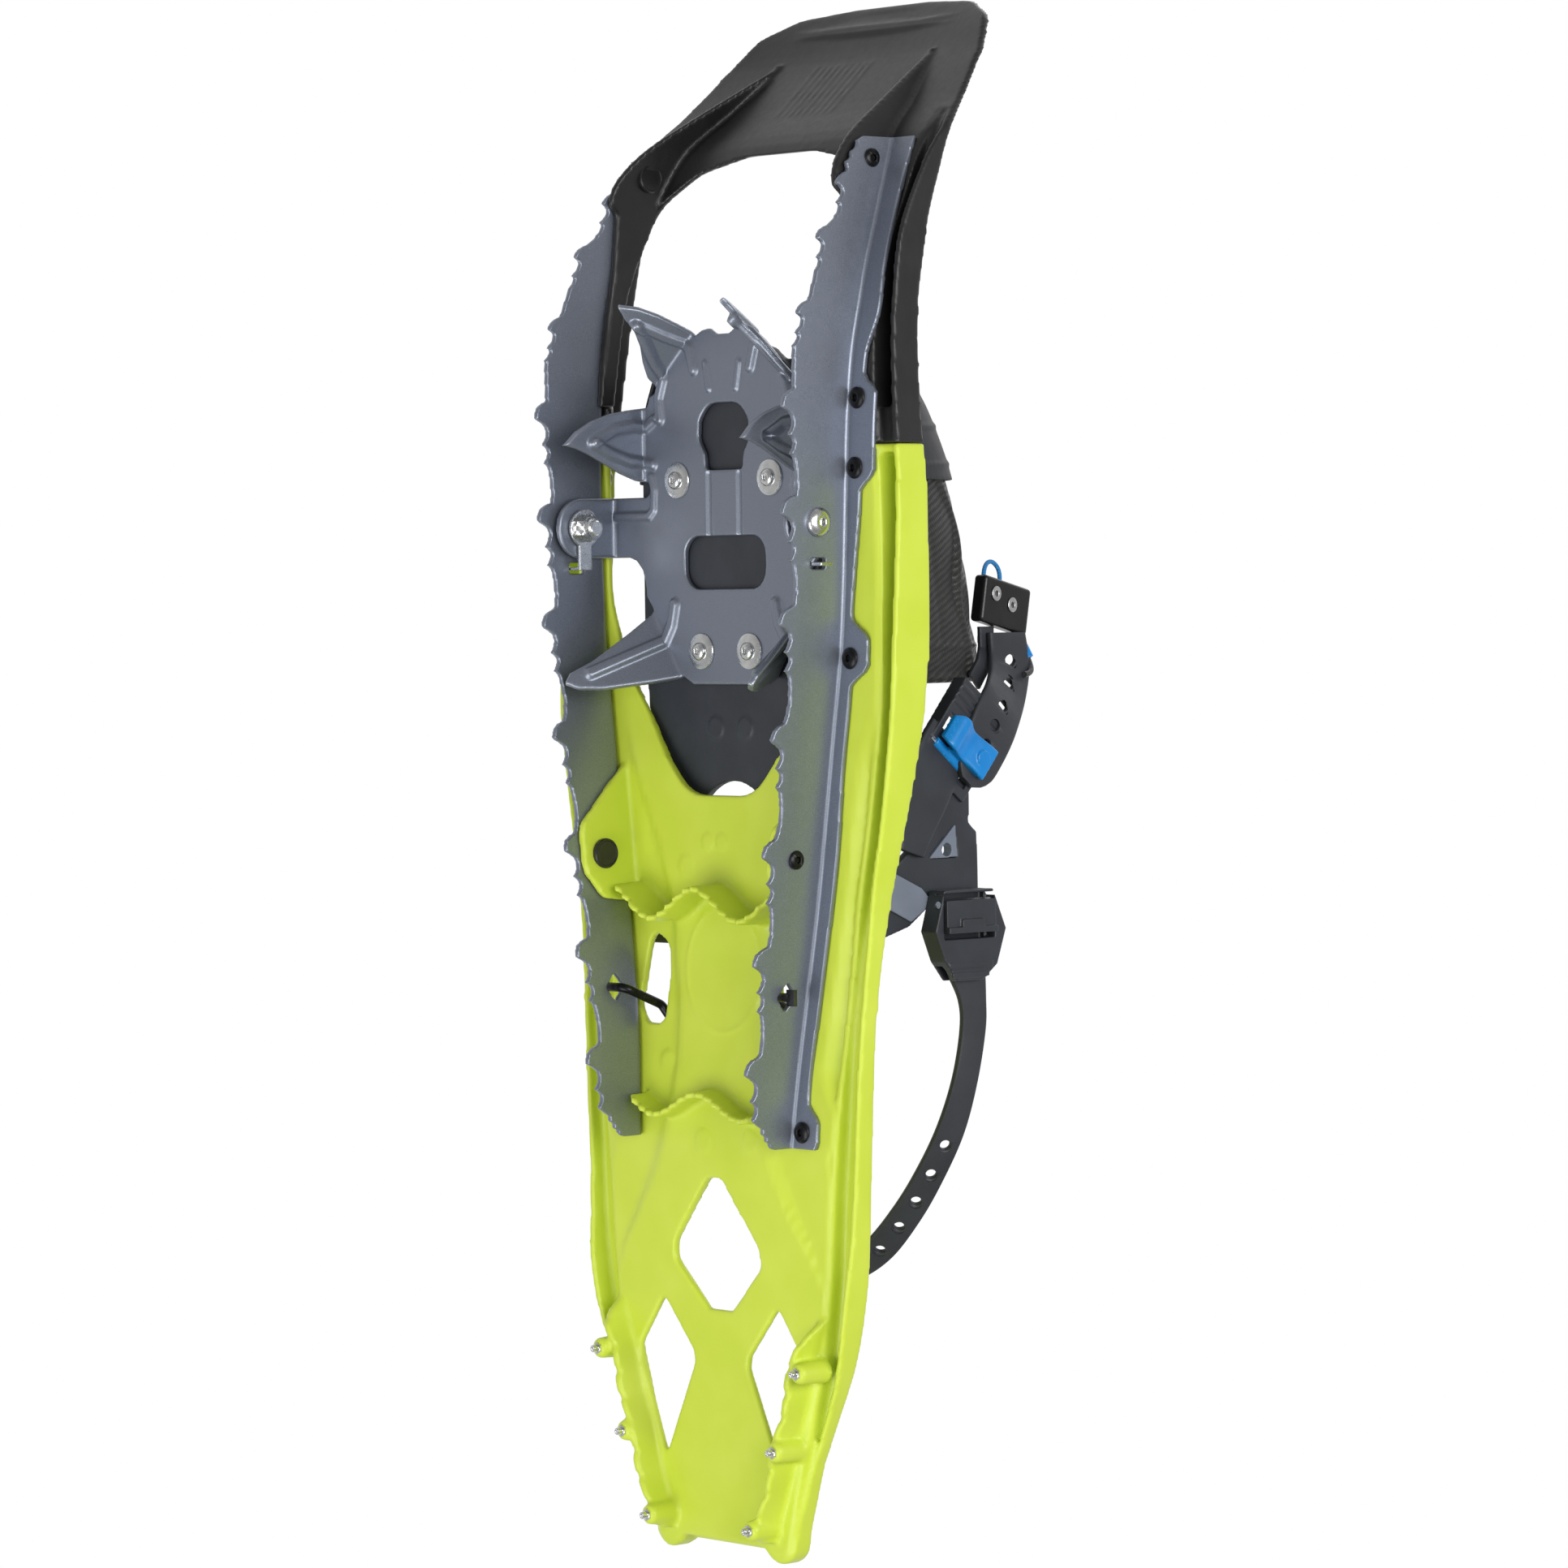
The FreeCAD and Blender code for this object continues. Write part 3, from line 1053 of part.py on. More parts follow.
add_feature("heel_lift", make_heel_lift())

# ---------------------------------------------------------------------------
# Check every object, then write one file for each sub-part
# ---------------------------------------------------------------------------
doc.recompute()
for item in doc.Objects:
    if any(word in item.State for word in ("Invalid", "Error")):
        raise RuntimeError("%s did not recompute" % item.Label)
for item in nodes:
    if item.Shape.isNull() or not item.Shape.isValid() or item.Shape.Volume < 1:
        raise RuntimeError("%s has no valid shape" % item.Label)
for item in nodes:
    item.Shape.exportStep("parts/%s.step" % item.Label)
    print("%-24s %2d solid(s) %9.0f mm3" % (item.Label, len(item.Shape.Solids), item.Shape.Volume))
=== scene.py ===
"""Looks of the left snowshoe: meshes, cords, materials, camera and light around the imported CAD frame."""
import json
import math

import bmesh
import bpy
import numpy as np
from mathutils import Matrix, Vector


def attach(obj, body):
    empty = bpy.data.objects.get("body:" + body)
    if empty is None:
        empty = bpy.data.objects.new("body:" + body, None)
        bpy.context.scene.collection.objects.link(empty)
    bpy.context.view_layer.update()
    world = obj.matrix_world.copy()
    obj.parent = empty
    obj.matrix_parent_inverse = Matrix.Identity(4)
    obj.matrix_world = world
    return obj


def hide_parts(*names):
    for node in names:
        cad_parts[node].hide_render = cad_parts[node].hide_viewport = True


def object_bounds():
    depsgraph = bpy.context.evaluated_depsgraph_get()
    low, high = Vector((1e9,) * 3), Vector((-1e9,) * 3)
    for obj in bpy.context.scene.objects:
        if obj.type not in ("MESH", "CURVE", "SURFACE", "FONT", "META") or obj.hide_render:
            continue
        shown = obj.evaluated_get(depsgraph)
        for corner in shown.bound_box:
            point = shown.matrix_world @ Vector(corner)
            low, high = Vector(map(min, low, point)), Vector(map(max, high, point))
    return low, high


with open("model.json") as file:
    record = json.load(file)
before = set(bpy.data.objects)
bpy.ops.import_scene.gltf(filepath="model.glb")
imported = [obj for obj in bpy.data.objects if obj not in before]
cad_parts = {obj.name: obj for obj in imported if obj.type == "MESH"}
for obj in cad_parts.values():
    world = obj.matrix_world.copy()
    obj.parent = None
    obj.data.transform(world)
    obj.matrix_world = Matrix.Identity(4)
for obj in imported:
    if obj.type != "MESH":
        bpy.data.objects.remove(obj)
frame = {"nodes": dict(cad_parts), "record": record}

MM = 0.001
CAD_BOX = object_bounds()
scene = bpy.context.scene


# Curves and outlines, in millimetres
def line(*pairs):
    """A smooth function through (place, value) pairs that never overshoots them."""
    places, values = (np.array(column, float) for column in zip(*sorted(pairs)))
    gaps = np.diff(places)
    slopes = np.diff(values) / gaps
    rates = np.concatenate([slopes[:1], np.zeros(len(gaps) - 1), slopes[-1:]])
    for i in range(1, len(gaps)):
        if slopes[i - 1] * slopes[i] > 0:
            before, after = 2 * gaps[i] + gaps[i - 1], gaps[i] + 2 * gaps[i - 1]
            rates[i] = (before + after) / (before / slopes[i - 1] + after / slopes[i])

    def value(place):
        place = np.clip(place, places[0], places[-1])
        i = np.clip(np.searchsorted(places, place) - 1, 0, len(gaps) - 1)
        t = (place - places[i]) / gaps[i]
        ease = t * t * (3 - 2 * t)
        bend = t * (1 - t) * ((1 - t) * rates[i] - t * rates[i + 1]) * gaps[i]
        return values[i] + (values[i + 1] - values[i]) * ease + bend
    return value


def smoothstep(value, low, high):
    t = np.clip((value - low) / (high - low), 0.0, 1.0)
    return t * t * (3 - 2 * t)


def rounded(corners):
    """An outline from (x, y, radius) corners, each turned into an arc."""
    outline = []
    for i, (x, y, radius) in enumerate(corners):
        here = np.array([x, y], float)
        back = np.array(corners[i - 1][:2]) - here
        ahead = np.array(corners[(i + 1) % len(corners)][:2]) - here
        reach = 0.48 * min(np.linalg.norm(back), np.linalg.norm(ahead))
        back, ahead = back / np.linalg.norm(back), ahead / np.linalg.norm(ahead)
        half = math.acos(float(np.clip(back @ ahead, -1, 1))) / 2
        if radius <= 0 or half > 1.54:
            outline.append((x, y))
            continue
        setback = min(radius / math.tan(half), reach)
        radius = setback * math.tan(half)
        middle = (back + ahead) / np.linalg.norm(back + ahead)
        centre = here + middle * radius / math.sin(half)
        first, last = here + back * setback - centre, here + ahead * setback - centre
        start = math.atan2(first[1], first[0])
        sweep = (math.atan2(last[1], last[0]) - start + math.pi) % (2 * math.pi) - math.pi
        steps = max(2, int(abs(sweep) / 0.25) + 1)
        for step in range(steps + 1):
            angle = start + sweep * step / steps
            outline.append((centre[0] + radius * math.cos(angle), centre[1] + radius * math.sin(angle)))
    return outline


def mirror_half(half):
    """A whole outline from its right half, listed from one end of the middle line to the other."""
    return list(half) + [(-corner[0],) + tuple(corner[1:]) for corner in reversed(half)]


def inset(outline, distance):
    """The outline moved inwards, for a dense outline that runs anticlockwise."""
    points = np.array(outline, float)
    run = np.roll(points, -1, 0) - np.roll(points, 1, 0)
    run /= np.linalg.norm(run, axis=1)[:, None]
    return [tuple(p) for p in points + np.stack([-run[:, 1], run[:, 0]], 1) * distance]


def spline(points, step=2.0):
    """Points about one step apart on a smooth curve through the given ones."""
    points = np.array(points, float)
    padded = np.vstack([2 * points[0] - points[1], points, 2 * points[-1] - points[-2]])
    out = []
    for a, b, c, d in zip(padded, padded[1:], padded[2:], padded[3:]):
        count = max(1, int(np.linalg.norm(c[:3] - b[:3]) / step))
        for t in np.arange(count) / count:
            out.append(0.5 * (2 * b + (c - a) * t + (2 * a - 5 * b + 4 * c - d) * t * t
                              + (3 * b - a - 3 * c + d) * t ** 3))
    return np.array(out + [points[-1]])


# Solids as (points, faces), in millimetres
def split(flat, place, direction, clear=False):
    """Split a flat mesh along a straight line, and drop what lies beyond it if clear is set."""
    everything = flat.verts[:] + flat.edges[:] + flat.faces[:]
    bmesh.ops.bisect_plane(flat, geom=everything, plane_co=place, plane_no=direction, clear_outer=clear)


def slab(outline, lower, upper, holes=(), step=5.0, clip=None, across=None):
    """Closed solid over an outline in x and y, between two heights that are functions of x and y.

    It is divided every step along y and, if given, every across along x; clip limits it along y.
    """
    flat = bmesh.new()
    for loop in [outline, *holes]:
        corners = [flat.verts.new((x, y, 0)) for x, y in loop]
        for a, b in zip(corners, corners[1:] + corners[:1]):
            flat.edges.new((a, b))
    bmesh.ops.triangle_fill(flat, use_beauty=True, use_dissolve=False, edges=flat.edges[:])
    low, high = min(y for _, y in outline), max(y for _, y in outline)
    for y in np.arange(math.ceil(low / step) * step + 0.37, high, step):
        split(flat, (0, y, 0), (0, 1, 0))
    for x in np.arange(-100, 100, across) if across else ():
        split(flat, (x + 0.21, 0, 0), (1, 0, 0))
    for y, side in zip(clip or (), (-1, 1)):
        split(flat, (0, y, 0), (0, side, 0), True)
    flat.verts.index_update()
    plan = np.array([v.co[:2] for v in flat.verts])
    faces = []
    for face in flat.faces:
        loop = [v.index for v in face.verts]
        corners = plan[loop]
        area = np.sum(corners[:, 0] * np.roll(corners[:, 1], -1) - np.roll(corners[:, 0], -1) * corners[:, 1])
        faces.append(loop if area > 0 else loop[::-1])
    flat.free()
    return thicken(plan, faces, lower, upper)


def thicken(plan, faces, lower, upper):
    """Top, bottom and side faces for a flat mesh."""
    count = len(plan)
    x, y = plan[:, 0], plan[:, 1]
    tops = np.column_stack([x, y, np.broadcast_to(upper(x, y), count)])
    bottoms = np.column_stack([x, y, np.broadcast_to(lower(x, y), count)])
    edges = {(a, b) for loop in faces for a, b in zip(loop, loop[1:] + loop[:1])}
    sides = [(b, a, a + count, b + count) for a, b in edges if (b, a) not in edges]
    under = [tuple(i + count for i in reversed(loop)) for loop in faces]
    return np.vstack([tops, bottoms]), [tuple(loop) for loop in faces] + under + sorted(sides)


def following(profile, shift=0.0):
    """A height that follows a profile along y."""
    return lambda x, y: profile(y) + shift


def plate(outline, low, high, holes=()):
    """Flat solid between two heights."""
    return slab(outline, lambda x, y: low, lambda x, y: high, holes, WHOLE)


def turned(solid, rotation=None, move=(0, 0, 0)):
    """The solid, turned by a 3 by 3 matrix and moved."""
    points, faces = solid
    if rotation is not None:
        points = points @ np.array(rotation, float).T
    return points + np.array(move, float), faces


def flipped(solid):
    """The solid mirrored to the other side of the shoe."""
    points, faces = solid
    return points * (-1, 1, 1), [tuple(reversed(face)) for face in faces]


ACROSS = np.array([(0, 0, 1), (1, 0, 0), (0, 1, 0)], float)
WHOLE = 500.0


def loft(rings):
    """Skin over rings of points, with the ends closed."""
    rings = np.array(rings, float)
    count, size = rings.shape[:2]
    faces = []
    for i in range(count - 1):
        for j in range(size):
            k = (j + 1) % size
            faces.append((i * size + j, i * size + k, (i + 1) * size + k, (i + 1) * size + j))
    faces += [tuple(reversed(range(size))), tuple(range((count - 1) * size, count * size))]
    return rings.reshape(-1, 3), faces


def frame_of(axis):
    """Two directions square to an axis."""
    axis = np.array(axis, float) / np.linalg.norm(axis)
    helper = np.array((0, 0, 1.0)) if abs(axis[2]) < 0.9 else np.array((1.0, 0, 0))
    side = np.cross(helper, axis)
    side /= np.linalg.norm(side)
    return axis, side, np.cross(axis, side)


def lathe(profile, centre, axis, segments=40):
    """Turned solid from (radius, height, sides) steps; sides of 6 makes that step a hexagon."""
    axis, side, other = frame_of(axis)
    rings = []
    for radius, height, sides in profile:
        ring = []
        for step in range(segments):
            angle = 2 * math.pi * step / segments
            reach = max(radius, 0.001)
            if sides:
                part = math.pi / sides
                reach *= math.cos(part) / math.cos((angle % (2 * part)) - part)
            ring.append(np.array(centre) + axis * height
                        + (side * math.cos(angle) + other * math.sin(angle)) * reach)
        rings.append(ring)
    return loft(rings)


def pipe(points, radius, sides=12):
    """Round tube along a line of points."""
    points = np.array(points, float)
    runs = np.gradient(points, axis=0)
    _, side, _ = frame_of(runs[0])
    rings = []
    for point, run in zip(points, runs):
        run = run / np.linalg.norm(run)
        side = side - run * (side @ run)
        side /= np.linalg.norm(side)
        other = np.cross(run, side)
        rings.append([point + radius * (side * math.cos(a) + other * math.sin(a))
                      for a in np.arange(sides) * 2 * math.pi / sides])
    return loft(rings)


def strap(stations, thickness, step=2.0):
    """Flat strap with rounded edges through (centre, across, outward, width) stations."""
    path = spline([[*centre, *across, *outward, width] for centre, across, outward, width in stations], step)
    rings = []
    for row in path:
        centre, across, outward, width = row[:3], row[3:6], row[6:9], row[9]
        across = across / np.linalg.norm(across)
        outward = outward - across * (outward @ across)
        outward /= np.linalg.norm(outward)
        ring = []
        for angle in np.arange(20) * math.pi / 10:
            c, s = math.cos(angle), math.sin(angle)
            ring.append(centre + across * width / 2 * math.copysign(abs(c) ** 0.16, c)
                        + outward * thickness / 2 * math.copysign(abs(s) ** 0.5, s))
        rings.append(ring)
    return loft(rings)


# Blender objects
def mesh_object(name, solids):
    """One object from several solids, in metres."""
    points, faces, count = [], [], 0
    for solid_points, solid_faces in solids:
        points.append(solid_points)
        faces += [tuple(i + count for i in face) for face in solid_faces]
        count += len(solid_points)
    mesh = bpy.data.meshes.new(name)
    mesh.from_pydata((np.vstack(points) * MM).tolist(), [], faces)
    mesh.update()
    obj = bpy.data.objects.new(name, mesh)
    scene.collection.objects.link(obj)
    work = bmesh.new()
    work.from_mesh(mesh)
    bmesh.ops.recalc_face_normals(work, faces=work.faces)
    work.to_mesh(mesh)
    work.free()
    return obj


def baked(obj):
    """Apply the object's modifiers."""
    graph = bpy.context.evaluated_depsgraph_get()
    graph.update()
    mesh = bpy.data.meshes.new_from_object(obj.evaluated_get(graph))
    obj.modifiers.clear()
    obj.data = mesh
    return obj


def cut(obj, solids):
    """Cut the solids out of the object."""
    tool = mesh_object("tool", solids)
    step = obj.modifiers.new("cut", "BOOLEAN")
    step.operation = "DIFFERENCE"
    step.solver = "EXACT"
    step.object = tool
    baked(obj)
    bpy.data.objects.remove(tool)
    return obj


def thinned(obj, keep):
    """Keep a share of the triangles, apply the modifiers and shade the object smooth."""
    if keep < 1.0:
        obj.modifiers.new("thin", "DECIMATE").ratio = keep
    baked(obj).data.shade_smooth()
    return obj


def moulded(obj, voxel, passes=4, keep=1.0):
    """Fuse overlapping solids into one skin with softly rounded edges and fillets."""
    fuse = obj.modifiers.new("fuse", "REMESH")
    fuse.mode = "VOXEL"
    fuse.voxel_size = voxel * MM
    ease = obj.modifiers.new("ease", "SMOOTH")
    ease.factor = 0.5
    ease.iterations = passes
    return thinned(obj, keep)


def sharp(obj, degrees=32):
    """Smooth shading that stays crisp across hard edges."""
    with bpy.context.temp_override(object=obj, active_object=obj, selected_objects=[obj],
                                   selected_editable_objects=[obj]):
        bpy.ops.object.shade_smooth_by_angle(angle=math.radians(degrees))
    return obj


def points_of(obj):
    """The mesh's points in millimetres."""
    points = np.empty(len(obj.data.vertices) * 3, np.float32)
    obj.data.vertices.foreach_get("co", points)
    return points.reshape(-1, 3).astype(float) / MM


def set_points(obj, points):
    obj.data.vertices.foreach_set("co", (points * MM).astype(np.float32).ravel())
    obj.data.update()
    return obj


def twin(obj, name):
    """The object's mirror image on the other side of the shoe."""
    other = bpy.data.objects.new(name, obj.data.copy())
    scene.collection.objects.link(other)
    set_points(other, points_of(other) * (-1, 1, 1))
    other.data.flip_normals()
    return other


def cad_solid(node):
    """The shape of a CAD node, in millimetres, with its corners joined."""
    work = bmesh.new()
    work.from_mesh(frame["nodes"][node].data)
    bmesh.ops.remove_doubles(work, verts=work.verts, dist=0.00002)
    work.verts.index_update()
    points = np.array([v.co[:] for v in work.verts]) / MM
    faces = [tuple(v.index for v in face.verts) for face in work.faces]
    work.free()
    return points, faces


NODE_SLOT = {part["node"]: part["material_slot"] for part in frame["record"]["subparts"]}
NODE_BODY = {node: body for body, nodes in frame["record"]["behaviour"]["bodies"].items() for node in nodes}


def stand_for(obj, node, material=None):
    """The object takes over a CAD node: its body, its material and its place."""
    slot = NODE_SLOT[node]
    obj.data.materials.clear()
    obj.data.materials.append(material or MATERIALS[slot])
    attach(obj, NODE_BODY[node])
    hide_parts(node)
    return obj


def crisp(name, node, solids):
    """Turned or cut metal pieces as one object in a node's place."""
    return stand_for(sharp(mesh_object(name, solids)), node)


# Materials
class Surface:
    """A procedural material; detail sizes are in millimetres."""

    def __init__(self, name, roughness, metallic=0.0, **sockets):
        self.material = bpy.data.materials.new(name)
        self.material.use_nodes = True
        self.nodes = self.material.node_tree.nodes
        self.links = self.material.node_tree.links
        self.shader = self.nodes["Principled BSDF"]
        self.shader.inputs["Roughness"].default_value = roughness
        self.shader.inputs["Metallic"].default_value = metallic
        for socket, value in sockets.items():
            self.shader.inputs[socket.replace("_", " ")].default_value = value
        self.place = self.nodes.new("ShaderNodeTexCoord").outputs["Object"]
        self.last_bump = None

    def add(self, kind, output, settings=(), **inputs):
        """A node with its inputs set or linked; returns the named output."""
        node = self.nodes.new(kind)
        for key, value in dict(settings).items():
            setattr(node, key, value)
        for key, value in inputs.items():
            socket = node.inputs[int(key[2:]) if key.startswith("in") else key.replace("_", " ")]
            if isinstance(value, bpy.types.NodeSocket):
                self.links.new(value, socket)
            else:
                socket.default_value = value
        return node.outputs[output]

    def noise(self, size, detail=3.0, stretch=(1, 1, 1)):
        place = self.add("ShaderNodeMapping", "Vector", Vector=self.place, Scale=stretch)
        return self.add("ShaderNodeTexNoise", "Fac", Vector=place, Scale=1 / (size * MM), Detail=detail)

    def wave(self, direction, size, place, **inputs):
        return self.add("ShaderNodeTexWave", "Fac", {"bands_direction": direction}, Vector=place,
                        Scale=1 / (size * 6.28 * MM) * 2, **inputs)

    def ramp(self, value, low, high, first=0.0, last=1.0):
        """A number that runs from first to last as value runs from low to high."""
        return self.add("ShaderNodeMapRange", "Result", Value=value, From_Min=low, From_Max=high,
                        To_Min=first, To_Max=last)

    def colour(self, value, low, high):
        """Base colour that runs from low to high with value."""
        mixed = self.add("ShaderNodeMix", 2, {"data_type": "RGBA"}, in0=value, in6=(*low, 1), in7=(*high, 1))
        self.links.new(mixed, self.shader.inputs["Base Color"])
        return mixed

    def recolour(self, value, mixed, high):
        """Put another colour over a mixed one where value is 1."""
        over = self.add("ShaderNodeMix", 2, {"data_type": "RGBA"}, in0=value, in6=mixed, in7=(*high, 1))
        self.links.new(over, self.shader.inputs["Base Color"])
        return over

    def roughness(self, value):
        self.links.new(value, self.shader.inputs["Roughness"])

    def bump(self, height, depth, strength=1.0):
        """Relief of a depth in millimetres."""
        inputs = {"Height": height, "Distance": depth * MM, "Strength": strength}
        if self.last_bump is not None:
            inputs["Normal"] = self.last_bump
        self.last_bump = self.add("ShaderNodeBump", "Normal", **inputs)
        self.links.new(self.last_bump, self.shader.inputs["Normal"])

    def edges(self, low, high):
        """1 along outer edges: the mask for edge wear and for painted edge highlights."""
        pointed = self.add("ShaderNodeNewGeometry", "Pointiness")
        return self.ramp(pointed, low, high)


def lime_plastic(name):
    s = Surface(name, 0.42, Specular_IOR_Level=0.45)
    s.colour(s.ramp(s.noise(26, 2), 0.3, 0.7), (0.55, 0.67, 0.045), (0.60, 0.71, 0.065))
    s.roughness(s.ramp(s.noise(5, 3), 0.3, 0.7, 0.36, 0.48))
    s.bump(s.noise(0.55, 2), 0.05, 0.5)
    return s.material


def dark_plastic(name, low, high, roughness, grain=0.5, depth=0.06):
    """Moulded plastic: fine spark texture, faint colour drift, and handling marks in the gloss."""
    s = Surface(name, roughness, Specular_IOR_Level=0.5)
    mixed = s.colour(s.ramp(s.noise(18, 3), 0.3, 0.7), low, high)
    # Lighter colour along outer edges: painted edge highlight, partly edge wear.
    s.recolour(s.ramp(s.edges(0.53, 0.66), 0, 1, 0, 0.5), mixed, tuple(min(1, v * 1.7 + 0.01) for v in high))
    scuffs = s.noise(2.2, 5, (1, 0.25, 1))
    s.roughness(s.ramp(scuffs, 0.3, 0.8, roughness - 0.03, roughness + 0.05))
    s.bump(s.noise(grain, 2), depth, 0.6)
    return s.material


def coated_metal(name):
    """Satin metallic powder coat: orange peel, fine flake, lighter along edges: a painted edge highlight, and
    the coat worn thin there.
    """
    s = Surface(name, 0.40, 0.7, Specular_IOR_Level=0.5)
    flake = s.noise(0.22, 1)
    mixed = s.colour(s.ramp(flake, 0.35, 0.7), (0.19, 0.212, 0.262), (0.30, 0.328, 0.392))
    # Lighter colour along edges: painted edge highlight, partly edge wear.
    s.recolour(s.ramp(s.edges(0.525, 0.60), 0, 1, 0, 0.75), mixed, (0.52, 0.55, 0.60))
    s.roughness(s.ramp(s.noise(3.5, 4), 0.3, 0.7, 0.36, 0.42))
    s.bump(s.noise(1.1, 2), 0.05, 0.45)
    s.bump(s.noise(0.3, 1), 0.02, 0.5)
    return s.material


def bright_zinc(name):
    s = Surface(name, 0.22, 1.0)
    mixed = s.colour(s.ramp(s.noise(3, 4), 0.3, 0.7), (0.60, 0.61, 0.62), (0.76, 0.76, 0.74))
    # Lighter colour along edges: painted edge highlight, partly edge wear.
    s.recolour(s.ramp(s.edges(0.54, 0.66), 0, 1, 0, 0.6), mixed, (0.88, 0.88, 0.87))
    s.roughness(s.ramp(s.noise(0.8, 4, (1, 1, 5)), 0.3, 0.7, 0.16, 0.32))
    s.bump(s.noise(0.35, 3, (1, 1, 6)), 0.015, 0.4)
    return s.material


def black_steel(name):
    s = Surface(name, 0.34, 0.85)
    mixed = s.colour(s.ramp(s.noise(2.5, 3), 0.3, 0.7), (0.012, 0.012, 0.013), (0.030, 0.030, 0.032))
    # Lighter colour along edges: painted edge highlight, partly edge wear.
    s.recolour(s.ramp(s.edges(0.54, 0.66), 0, 1, 0, 0.5), mixed, (0.16, 0.16, 0.17))
    s.bump(s.noise(0.5, 2), 0.03, 0.5)
    return s.material


def woven_fabric(name):
    """Coated black fabric with slanted ribs and a fine cross weave."""
    s = Surface(name, 0.52, Sheen_Weight=0.06, Sheen_Roughness=0.4, Specular_IOR_Level=0.5)
    slant = s.add("ShaderNodeMapping", "Vector", Vector=s.place, Rotation=(0.45, 0.0, 0.0))
    ribs = s.wave("Y", 2.6, slant, Distortion=1.1, Detail=1.0, Detail_Scale=2.0)
    weave = s.wave("Z", 0.9, slant, Distortion=0.6, Detail=1.0, Detail_Scale=2.0)
    mixed = s.colour(ribs, (0.006, 0.006, 0.006), (0.018, 0.018, 0.017))
    s.recolour(s.ramp(s.noise(9, 3), 0.4, 0.8, 0, 0.4), mixed, (0.024, 0.024, 0.023))
    s.roughness(s.ramp(ribs, 0.1, 0.9, 0.66, 0.46))
    s.bump(ribs, 0.45, 0.6)
    s.bump(weave, 0.12, 0.5)
    return s.material


def braided_cord(name, low, high):
    s = Surface(name, 0.7, Sheen_Weight=0.3)
    strands = s.wave("DIAGONAL", 0.5, s.place, Distortion=1.0)
    s.colour(strands, low, high)
    s.bump(strands, 0.12, 0.7)
    return s.material


DARK_PLASTICS = {
    "black_deck": ((0.010, 0.0098, 0.0098), (0.016, 0.0155, 0.0155), 0.38, 0.7, 0.04),
    "black_cap": ((0.008, 0.008, 0.009), (0.014, 0.014, 0.015), 0.30),
    "bush_plastic": ((0.02, 0.02, 0.022), (0.03, 0.03, 0.033), 0.45),
    "slate_plastic": ((0.020, 0.023, 0.030), (0.029, 0.033, 0.042), 0.44),
    "slate_strap": ((0.021, 0.023, 0.030), (0.030, 0.033, 0.041), 0.52),
    "pad_rubber": ((0.014, 0.015, 0.018), (0.022, 0.023, 0.027), 0.62, 0.8, 0.1),
    "grey_insert": ((0.155, 0.18, 0.235), (0.19, 0.215, 0.275), 0.5),
    "blue_plastic": ((0.0, 0.19, 0.56), (0.003, 0.24, 0.66), 0.34),
}
MATERIALS = {slot: dark_plastic(slot + "_look", *values) for slot, values in DARK_PLASTICS.items()}
MATERIALS.update({
    "lime_deck": lime_plastic("lime_deck_look"),
    "rail_metal": coated_metal("rail_metal_look"),
    "black_steel": black_steel("black_steel_look"),
    "zinc": bright_zinc("zinc_look"),
    "wrap_fabric": woven_fabric("wrap_fabric_look"),
    "blue_cord": braided_cord("blue_cord_look", (0.0, 0.12, 0.36), (0.01, 0.26, 0.62)),
    "black_cord": braided_cord("black_cord_look", (0.006, 0.006, 0.007), (0.03, 0.03, 0.034)),
})

# Camera, light and floor
YAW, PITCH, ROLL = math.radians(48.0), math.radians(1.83), math.radians(-0.78)
DISTANCE = 2.300
SIDEWAYS = -0.0483


def view_axes():
    """Right, up and forward directions of the camera."""
    right = np.array([-math.cos(YAW), 0, math.sin(YAW)])
    forward = np.array([math.sin(YAW), 0, math.cos(YAW)])
    up = np.array([0, 1.0, 0])
    tilted_up = math.cos(PITCH) * up + math.sin(PITCH) * forward
    forward = math.cos(PITCH) * forward - math.sin(PITCH) * up
    return (math.cos(ROLL) * right + math.sin(ROLL) * tilted_up,
            math.cos(ROLL) * tilted_up - math.sin(ROLL) * right, forward)


RIGHT, UP, FORWARD = view_axes()


def make_camera():
    data = bpy.data.cameras.new("camera")
    data.lens = 135.0
    data.sensor_width = 36.0
    data.clip_end = 20
    camera = bpy.data.objects.new("camera", data)
    scene.collection.objects.link(camera)
    place = -SIDEWAYS * RIGHT - DISTANCE * FORWARD
    axes = np.column_stack([RIGHT, UP, -FORWARD, place])
    camera.matrix_world = Matrix([*axes.tolist(), [0, 0, 0, 1]])
    scene.camera = camera


SOFTBOXES = {"side_softbox": ((-1.0, 0.12, -0.2), 1.7, (0.8, 1.6), 24),
             "under_softbox": ((-0.1, -0.45, -1.0), 2.0, (1.4, 1.4), 24),
             "top_softbox": ((0.3, 0.6, 1.0), 2.0, (1.2, 1.2), 5)}


def area_light(name, direction, distance, size, power):
    """Soft light that shines at the middle of the shoe from a direction."""
    data = bpy.data.lights.new(name, "AREA")
    data.shape = "RECTANGLE"
    data.size, data.size_y = size
    data.energy = power
    light = bpy.data.objects.new(name, data)
    scene.collection.objects.link(light)
    towards = np.array(direction) / np.linalg.norm(direction)
    place = Vector(towards * distance) + Vector((0, 0, 0.05))
    turn = Vector(towards).to_track_quat("Z", "Y").to_matrix().to_4x4()
    light.matrix_world = Matrix.Translation(place) @ turn


